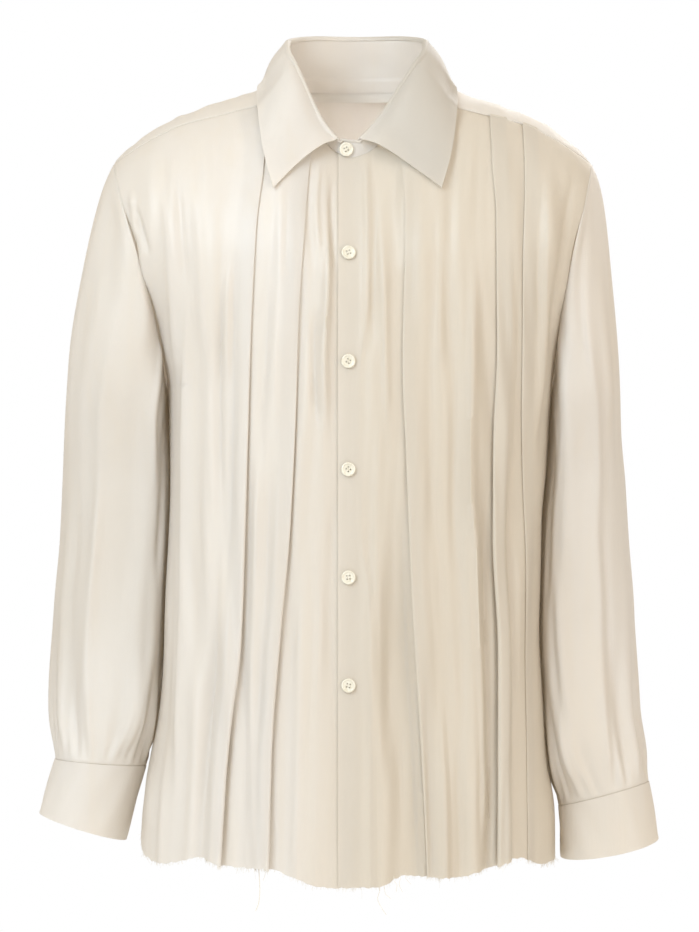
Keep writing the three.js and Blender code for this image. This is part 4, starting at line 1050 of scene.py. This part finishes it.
# ---- collar --------------------------------------------------------------------------------------------
COLLAR_FINE = 8                # columns of the collar's shell to one row of its table
ROLL_TURNS = np.linspace(-90, 90, 13)
LEAF_ROWS = np.linspace(0, 1, 31)[1:]
SOFT_ROLL = 4.2                # the leaf's front stands this far off beside its fold
SOFT_ROLL_AT = 0.17            # share of the leaf at which it does
SOFT_ROLL_FROM = 3             # row of the table from which it does
LEAF_WAVE = 0.5
LEAF_OUT, LEAF_UP = 3, 2       # how far the leaf's middle swells out and up
PUSH_ACROSS, PUSH_DOWN = 7, 2  # reach of the blur of the leaf's clearance, in columns and rows
STAND_STEP = 0.5               # the band steps out above the seam of its stand
STAND_GROOVE = 0.7
BAND_WAVE, BAND_WAVE_Z, BAND_WAVE_HIGH = 0.8, 52, 9
BAND_ROWS = 34
BAND_STEP = [(0.5, -0.5), (0.9, -1.3), (2.4, -1.7)]      # its upper edge, tucked behind the roll
FACING_Z = 25.8                # the back of the band hangs inside the yoke to this height
STAND_SEAM_Z = 38.5
ROUND, FOLD_X, EDGE_X = 0, 1, 4
past_back = list(COLLAR[1])    # the row past the middle back is the one before it, mirrored
past_back[ROUND] = 2 * COLLAR[0][ROUND] - past_back[ROUND]
for mirrored in (FOLD_X, EDGE_X):
    past_back[mirrored] = -past_back[mirrored]
collar_rows_at = [(-1, *past_back), *[(i, *row) for i, row in enumerate(COLLAR)]]
collar_at = [column_of(collar_rows_at, n + 1) for n in range(8)]


def clear_of_torso(point, clear):
    for _ in range(CLEAR_PASSES):
        side = -1 if point[1] < RIDGE_Y else 1
        across = abs(point[0] - float(middle_at(point[2])))
        if point[2] > float(crown(across, side)) - 1:
            if abs(point[1] - RIDGE_Y) < RIDGE_NEAR:
                point[2] = max(point[2], float(ridge_at(across)) + RIDGE_CLEAR)
            return point
        near = torso_point(point[0], point[2], side)
        normal = torso_normal(point[0], point[2], side)
        distance = float(np.dot(point - near, normal))
        if distance >= clear:
            return point
        point = point + normal * (clear - distance)
    return point


def collar_station(hand, row):
    spot, *fold, edge_x, edge_y, edge_z, shift = (float(read(row)) for read in collar_at)
    ring = neckline_point(hand, spot)
    fold = np.array([shift + hand * fold[0], *fold[1:]])
    edge = np.array([EDGE_SHIFT + hand * edge_x, edge_y, edge_z])
    if row >= EDGE_ON_BODY_FROM - 1:
        on_body = float(torso_y(edge[0], edge[2], -1)) - EDGE_CLEAR * LEAF_CLEAR
        edge[1] = lerp(edge[1], on_body, min(max(row - EDGE_ON_BODY_FROM + 1, 0), 1))
    down_band = unit(ring - fold)
    down_leaf = unit(edge - fold)
    up = -unit(down_band + down_leaf)
    out = unit(down_leaf - down_band)
    turns = np.radians(ROLL_TURNS)
    roll = fold + FOLD_ROLL * (np.sin(turns)[:, None] * out + (np.cos(turns)[:, None] - 1) * up)
    return ring, edge, down_band, up, out, roll


def collar_rows():
    return np.arange(0, (len(COLLAR) - 1) * COLLAR_FINE + 1) / COLLAR_FINE


def leaf_column(hand, row):
    _, edge, _, up, out, roll = collar_station(hand, row)
    points = list(roll)
    for v in LEAF_ROWS:
        swell = math.sin(math.pi * v)
        soft = LEAF_WAVE * math.sin(2.1 * row + 4 * v + hand) * swell
        full = SOFT_ROLL * float(smooth((row - SOFT_ROLL_FROM) / 3)) * v / SOFT_ROLL_AT
        full = full * math.exp(1 - v / SOFT_ROLL_AT)
        points.append(lerp(roll[-1], edge, v) + out * (LEAF_OUT * swell + soft + full) + up * LEAF_UP * swell)
    return np.stack(points)


def blurred(field, reach):
    """The field averaged along its first axis."""
    steps = range(-reach, reach + 1)
    last = len(field) - 1
    weights = [reach + 1 - abs(step) for step in steps]
    index = np.arange(len(field))
    total = sum(w * field[np.clip(index + step, 0, last)] for w, step in zip(weights, steps))
    return total / sum(weights)


def leaf_grid():
    rows = collar_rows()
    free = np.stack([leaf_column(-1, row) for row in rows[:0:-1]]
                    + [leaf_column(1, row) for row in rows])
    clear = np.array([[clear_of_torso(point.copy(), LEAF_CLEAR) for point in column]
                      for column in free])
    push = clear - free
    push[:, :len(ROLL_TURNS)] = 0
    push = blurred(push, PUSH_ACROSS)
    push = blurred(push.transpose(1, 0, 2), PUSH_DOWN).transpose(1, 0, 2)
    push[:, :len(ROLL_TURNS)] = 0
    return free + push


def collar_leaf():
    return cloth_wall("silk_collar", leaf_grid(), COLLAR_CLOTH, SILK_COLLAR)


def band_grid():
    def span(low, high, lift, out):
        t = np.linspace(0, 1, BAND_ROWS)[:, None]
        return lerp(low, high, t) + out * lift

    def column(hand, row):
        ring, _, down_band, _, out, roll = collar_station(hand, row)
        low = ring - down_band * BAND_FROM_SEAM
        drop = max(0.0, low[2] - FACING_Z) / max(-down_band[2], 0.3)
        low = low + down_band * (drop * (1 - float(smooth((row - 2.6) / 1.6))))
        high = roll[0] + down_band * BAND_FROM_LEAF
        points = span(low, high, hand * OVERLAP_LIFT * float(smooth((row - 6) / 3)), out)
        x, z = points[:, 0:1], points[:, 2:3]
        step = STAND_STEP * np.tanh((z - STAND_SEAM_Z) / 0.5)
        groove = STAND_GROOVE * np.exp(-((z - STAND_SEAM_Z) / 0.5) ** 2)
        soft = BAND_WAVE * np.sin(0.55 * x / 8 + 0.2) * np.exp(-((z - BAND_WAVE_Z) / BAND_WAVE_HIGH) ** 2)
        return points + out * (step + groove + soft) * (1 - float(smooth((row - 4) / 2)))

    front_way = np.array([0.0, -1.0, 0.0])
    tall_at = curve([(-x, tall) for x, tall in BAND_END])
    places = [*np.linspace(4, -4, 5), -5.5, -7, -8, -9, -9.8, -10.3, -10.5]

    def ends(hand):
        found = []
        for x in places:
            degrees = math.degrees(math.asin((x - hand * float(middle_at(SHOULDER_TOP))) / NECK_HALF))
            low = neckline_point(hand, degrees)
            low[2] += BAND_FROM_SEAM
            high = low + np.array([0, 0, BAND_FRONT_TALL * float(tall_at(-x))])
            found.append(span(low, high, hand * OVERLAP_LIFT * BAND_END_LIFT, front_way))
        return found

    rows = collar_rows()
    return np.stack(ends(-1)[::-1] + [column(-1, row) for row in rows[:0:-1]]
                    + [column(1, row) for row in rows] + ends(1))


def collar_band():
    grid = turn_in(band_grid(), "top", BAND_STEP)
    return cloth_wall("silk_collar_band", grid, COLLAR_CLOTH, SILK)


# ---- buttons -------------------------------------------------------------------------------------------
BUTTON_PROFILE = [  # radius and height of a button's face, from its back to its middle
    (0.0, 0.0), (5.4, 0.0), (6.2, 0.3), (6.65, 0.8), (6.75, 1.3), (6.6, 1.85), (6.2, 2.25), (5.7, 2.38),
    (5.2, 2.3), (4.8, 2.05), (4.5, 1.8), (4.1, 1.66), (3.0, 1.6), (0.0, 1.58),
]
BUTTON_SEGMENTS = 48
BUTTON_HOLE = 0.8
BUTTON_HOLE_OUT = 1.9 * math.sqrt(0.5)        # from the middle, along both of the button's axes
BUTTON_SPINS = (0.35, -0.5, 0.7, 0.1, -0.25)
STRANDS = (-0.28, 0.0, 0.28)   # beside each other in a pair of holes
STRAND_RADIUS = 0.2


def faces_between(rings, segments):
    """Faces from each ring of points to the next; a ring may be a single point."""
    faces = []
    for low, high in zip(rings, rings[1:]):
        for k in range(segments):
            corners = [(low, k), (low, k + 1), (high, k + 1), (high, k)]
            faces.append(tuple(dict.fromkeys(ring[n % len(ring)] for ring, n in corners)))
    return faces


def lathe(profile, segments):
    points = []
    rings = []
    for radius, height in profile:
        if radius == 0:
            rings.append([len(points)])
            points.append((0, 0, height))
            continue
        rings.append(list(range(len(points), len(points) + segments)))
        turns = [2 * math.pi * k / segments for k in range(segments)]
        points += [(radius * math.cos(a), radius * math.sin(a), height) for a in turns]
    return points, faces_between(rings, segments)


def tube_points(path, radius, sides=6):
    """Points and faces of a closed tube along a short path."""
    path = np.asarray(path, float)
    along = unit(np.gradient(path, axis=0))
    helper = np.where(np.abs(along[:, 2:3]) < 0.9, [[0, 0, 1]], [[1, 0, 0]])
    across = unit(np.cross(along, helper))
    other = np.cross(along, across)
    turns = 2 * math.pi * np.arange(sides) / sides
    ring = np.cos(turns)[None, :, None] * across[:, None] + np.sin(turns)[None, :, None] * other[:, None]
    points = (path[:, None] + radius * ring).reshape(-1, 3)
    rings = np.arange(len(points)).reshape(-1, sides).tolist()
    return points, [*faces_between(rings, sides), tuple(rings[0][::-1]), tuple(rings[-1])]


def joined(parts):
    """Several (points, faces) as one."""
    points, faces, start = [], [], 0
    for some_points, some_faces in parts:
        points.append(np.asarray(some_points, float))
        faces += [tuple(start + n for n in face) for face in some_faces]
        start += len(some_points)
    return np.concatenate(points), faces


def facing(normal, spin=0.0):
    """Columns are the directions of a button's own axes."""
    normal = unit(np.asarray(normal, float))
    right = unit(np.cross(np.array([0.0, 0.0, 1.0]), normal))
    up = np.cross(normal, right)
    c, s = math.cos(spin), math.sin(spin)
    return np.stack([c * right + s * up, c * up - s * right, normal], axis=1)


def cut_holes(piece, places, radius, deep):
    for number, (x, y) in enumerate(places):
        points, faces = lathe([(0.0, -deep), (radius, -deep), (radius, deep), (0.0, deep)], 16)
        cutter = new_object(f"cutter_{number}", np.asarray(points) + [x, y, 0], faces, PEARL)
        change = piece.modifiers.new("hole", "BOOLEAN")
        change.operation = "DIFFERENCE"
        change.solver = "EXACT"
        change.object = cutter
        settle(piece)
        bpy.data.objects.remove(cutter)


def settle(piece):
    """Applies the piece's modifiers."""
    graph = bpy.context.evaluated_depsgraph_get()
    mesh = bpy.data.meshes.new_from_object(piece.evaluated_get(graph))
    piece.modifiers.clear()
    piece.data = mesh


def button_mesh():
    points, faces = lathe(BUTTON_PROFILE, BUTTON_SEGMENTS)
    piece = new_object("button_master", points, faces, PEARL)
    places = [(a * BUTTON_HOLE_OUT, b * BUTTON_HOLE_OUT) for a in (-1, 1) for b in (-1, 1)]
    cut_holes(piece, places, BUTTON_HOLE, 4)
    piece.data.shade_smooth()
    piece.data.set_sharp_from_angle(angle=math.radians(35))
    mesh = piece.data
    bpy.data.objects.remove(piece)
    return mesh


def add_button(master, node, seat, normal, spin):
    turned = facing(normal, spin)
    mesh = master.copy()
    piece = placed("pearl_" + node, mesh)
    co = np.zeros(len(mesh.vertices) * 3, np.float32)
    mesh.vertices.foreach_get("co", co)
    co = co.reshape(-1, 3) / MM
    mesh.vertices.foreach_set("co", ((co @ turned.T + seat) * MM).ravel().astype(np.float32))
    mesh.update()
    reach = BUTTON_HOLE_OUT
    strands = []
    for x in [a * reach + off for a in (-1, 1) for off in STRANDS]:
        path = [(x, -reach - 0.1, 0.4), (x, -reach + 0.25, 1.75), (x, 0, 1.95),
                (x, reach - 0.25, 1.75), (x, reach + 0.1, 0.4)]
        strands.append(tube_points(path, STRAND_RADIUS))
    points, faces = joined(strands)
    thread = new_object("thread_" + node, points @ turned.T + seat, faces, THREAD)
    thread.data.shade_smooth()
    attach(piece, "root")
    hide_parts(node)
    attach(thread, "root")


def add_buttons():
    master = button_mesh()
    for i, spin in enumerate(BUTTON_SPINS):
        z = BUTTON_FIRST - i * BUTTON_PITCH
        seat = torso_point(BUTTON_X, z, -1, OVERLAP_LIFT + 0.5 + BUTTON_GAP)
        add_button(master, f"button_front_{i + 1}", seat, torso_normal(BUTTON_X, z, -1), spin)
    degrees = math.degrees(math.asin((COLLAR_BUTTON["x"] - float(middle_at(SHOULDER_TOP))) / NECK_HALF))
    seat = neckline_point(1, degrees)
    seat[1] -= OVERLAP_LIFT * BAND_END_LIFT + 0.8 + COLLAR_BUTTON["lift"]
    seat[2] = COLLAR_BUTTON["z"]
    add_button(master, "button_collar", seat, (0, -1, 0), 0.5)
    angle = math.radians(CUFF_LAP_FROM + 0.45 * CUFF_LAP_TURN)
    lift = CUFF_LAP_LIFT + 0.9 + BUTTON_GAP
    for hand, name in SIDE_NAMES.items():
        seat = cuff_point(hand, angle, 0.5, lift)
        outwards = cuff_point(hand, angle, 0.5, lift + 1) - seat
        add_button(master, "button_cuff_" + name, seat, outwards, 0.3 * hand)


# ---- the frayed hem ------------------------------------------------------------------------------------
LONG_THREADS = [  # x, start height, then steps right and down
    (-84, -704, [(0.5, -10), (1, -22), (0, -33), (-3, -41)], 0.42),
    (-79, -704, [(1, -6), (-1, -13)], 0.2),
    (27, -719, [(1, -6), (-1, -14), (3, -23), (7, -29)], 0.3),
    (34, -716, [(-2, -5), (-1, -12), (4, -17)], 0.25),
    (41, -716, [(3, -5), (2, -11)], 0.25),
    (47, -714, [(-1, -6), (2, -13)], 0.25),
    (52, -713, [(2, -4), (5, -7)], 0.2),
]


def fringe(name, grid, seed, count, reach=(0.8, 4.0)):
    """Short loose ends of yarn along a raw hem, the grid's first row."""
    rng = np.random.default_rng(seed)
    edge = grid[:, 0]
    down = unit(grid[:, 0] - grid[:, 2])
    parts = []
    for _ in range(count):
        at = rng.uniform(0, len(edge) - 1.001)
        i = int(at)
        root = lerp(edge[i], edge[i + 1], at - i)
        way = unit(down[i] + rng.normal(0, 0.35, 3) * [1, 0.6, 0.25])
        long = rng.uniform(*reach) * (2.2 if rng.uniform() < 0.06 else 1)
        bend = rng.normal(0, 0.25, 3) * long
        path = [root - way * 0.6, root + way * long * 0.5 + bend * 0.4, root + way * long + bend]
        parts.append(tube_points(path, rng.uniform(0.07, 0.13), 3))
    points, faces = joined(parts)
    return new_object(name, points, faces, THREAD)


def long_threads():
    parts = []
    for x, z, steps, radius in LONG_THREADS:
        root = torso_point(np.array(float(x)), np.array(float(z)), -1)
        knots = np.array([root + [0, 0, 4], root] + [root + [right, -0.4 * n, down]
                                                     for n, (right, down) in enumerate(steps)])
        t = np.arange(len(knots))
        fine = np.linspace(0, len(knots) - 1, 6 * len(knots))
        path = np.stack([curve(list(zip(t, knots[:, axis])))(fine) for axis in range(3)], axis=1)
        parts.append(tube_points(path, radius, 5))
    points, faces = joined(parts)
    return new_object("hem_long_threads", points, faces, THREAD)


# ---- the shirt -----------------------------------------------------------------------------------------
def add_cloth(piece, nodes):
    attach(piece, "root")
    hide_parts(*nodes)


def add_trim(piece):
    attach(piece, "root")
    return piece


def build_shirt():
    for hand, name in SIDE_NAMES.items():
        panel = front_grid(hand)
        fray = add_trim(fringe("hem_fray_front_" + name, panel, 70 + hand, 330))
        add_cloth(front(hand, panel), ["front_" + name])
        add_cloth(sleeve(hand), ["sleeve_" + name])
        add_cloth(cuff(hand), ["cuff_" + name])
    panel = back_grid()
    fray = add_trim(fringe("hem_fray_back", panel, 75, 420))
    add_cloth(back(panel), ["back"])
    add_cloth(yoke(), ["yoke"])
    add_cloth(collar_leaf(), ["collar"])
    add_cloth(collar_band(), ["collar_band"])
    add_cloth(cloth_wall("bare_label", label(), LABEL_CLOTH_THICK, LABEL_CLOTH), ["label"])
    add_trim(long_threads())
    add_buttons()


build_shirt()


# ---- floor, light and camera ---------------------------------------------------------------------------
FLOOR_RADIUS = 2400
FLOOR_Z = -1060
FLOOR_SIDES = 96
LAMPS = [  # name, place, target, size, power, colour
    ("key", (-1.15, -1.75, 0.65), (-0.05, 0, -0.3), 1.1, 27, (0.71, 0.87, 1.0)),
    ("fill", (2.2, -2.6, 0.2), (0.1, 0, -0.35), 2.0, 27, (1.0, 0.96, 0.9)),
    ("neck", (-0.9, -0.9, 1.9), (0, 0.05, -0.02), 0.7, 4, (1.0, 0.97, 0.93)),
    ("hollow", (0.005, -0.03, -0.17), (0.005, 0.11, -0.09), 0.08, 0.2, (0.97, 0.97, 1.0)),
    ("back", (1.0, 3.4, 1.4), (0, 0, -0.3), 2.2, 30, (0.9, 0.95, 1.0)),
]
AMBIENT = (1.0, 0.92, 0.80, 1)
AMBIENT_STRENGTH = 0.82
WHITE = (1, 1, 1, 1)


def add_floor():
    turns = [2 * math.pi * k / FLOOR_SIDES for k in range(FLOOR_SIDES)]
    points = [(FLOOR_RADIUS * math.cos(turn), FLOOR_RADIUS * math.sin(turn), FLOOR_Z) for turn in turns]
    material, tree, shader, _ = node_material("floor")
    place = add_node(tree, "TexCoord").outputs["Object"]
    mottled = noise(tree, place, 3.0, detail=2.0)
    grey = mix_colours(tree, mottled, (0.80, 0.80, 0.80), (0.83, 0.83, 0.83))
    set_node(tree, shader, Base_Color=grey, Roughness=0.8)
    new_object("floor", points, [tuple(range(FLOOR_SIDES))], material)


def add_light(name, place, target, size, power, colour):
    """A round lamp; places and sizes in metres, power in watts."""
    data = bpy.data.lights.new(name, "AREA")
    data.shape = "DISK"
    data.size = size
    data.energy = power
    data.color = colour
    lamp = placed(name, data)
    lamp.location = place
    way = np.array(target, float) - np.array(place, float)
    lamp.rotation_euler = Vector(way).to_track_quat("-Z", "Y").to_euler()


def add_world():
    """White where the camera sees it, and a warmer ambient light on the shirt."""
    world = bpy.data.worlds.new("studio")
    bpy.context.scene.world = world
    world.use_nodes = True
    tree = world.node_tree
    tree.nodes.clear()
    path = add_node(tree, "LightPath")
    ambient = add_node(tree, "Background", Color=AMBIENT, Strength=AMBIENT_STRENGTH)
    seen = add_node(tree, "Background", Color=WHITE, Strength=1.0)
    mixed = mix_shaders(tree, path.outputs["Is Camera Ray"], ambient, seen)
    add_node(tree, "OutputWorld", Surface=mixed)


def add_camera():
    data = bpy.data.cameras.new("camera")
    data.sensor_fit = "HORIZONTAL"
    data.sensor_width = 36
    data.lens = data.sensor_width * CAMERA_AWAY / (PHOTO_WIDTH * MM_A_PIXEL)
    data.clip_end = 50
    camera = placed("camera", data)
    camera.location = (0, -CAMERA_AWAY * MM, CAMERA_Z * MM)
    camera.rotation_euler = (math.pi / 2, 0, 0)
    bpy.context.scene.camera = camera


add_floor()
for lamp in LAMPS:
    add_light(*lamp)
add_world()
add_camera()
bpy.context.scene.view_settings.view_transform = "Standard"
bpy.context.scene.view_settings.look = "None"
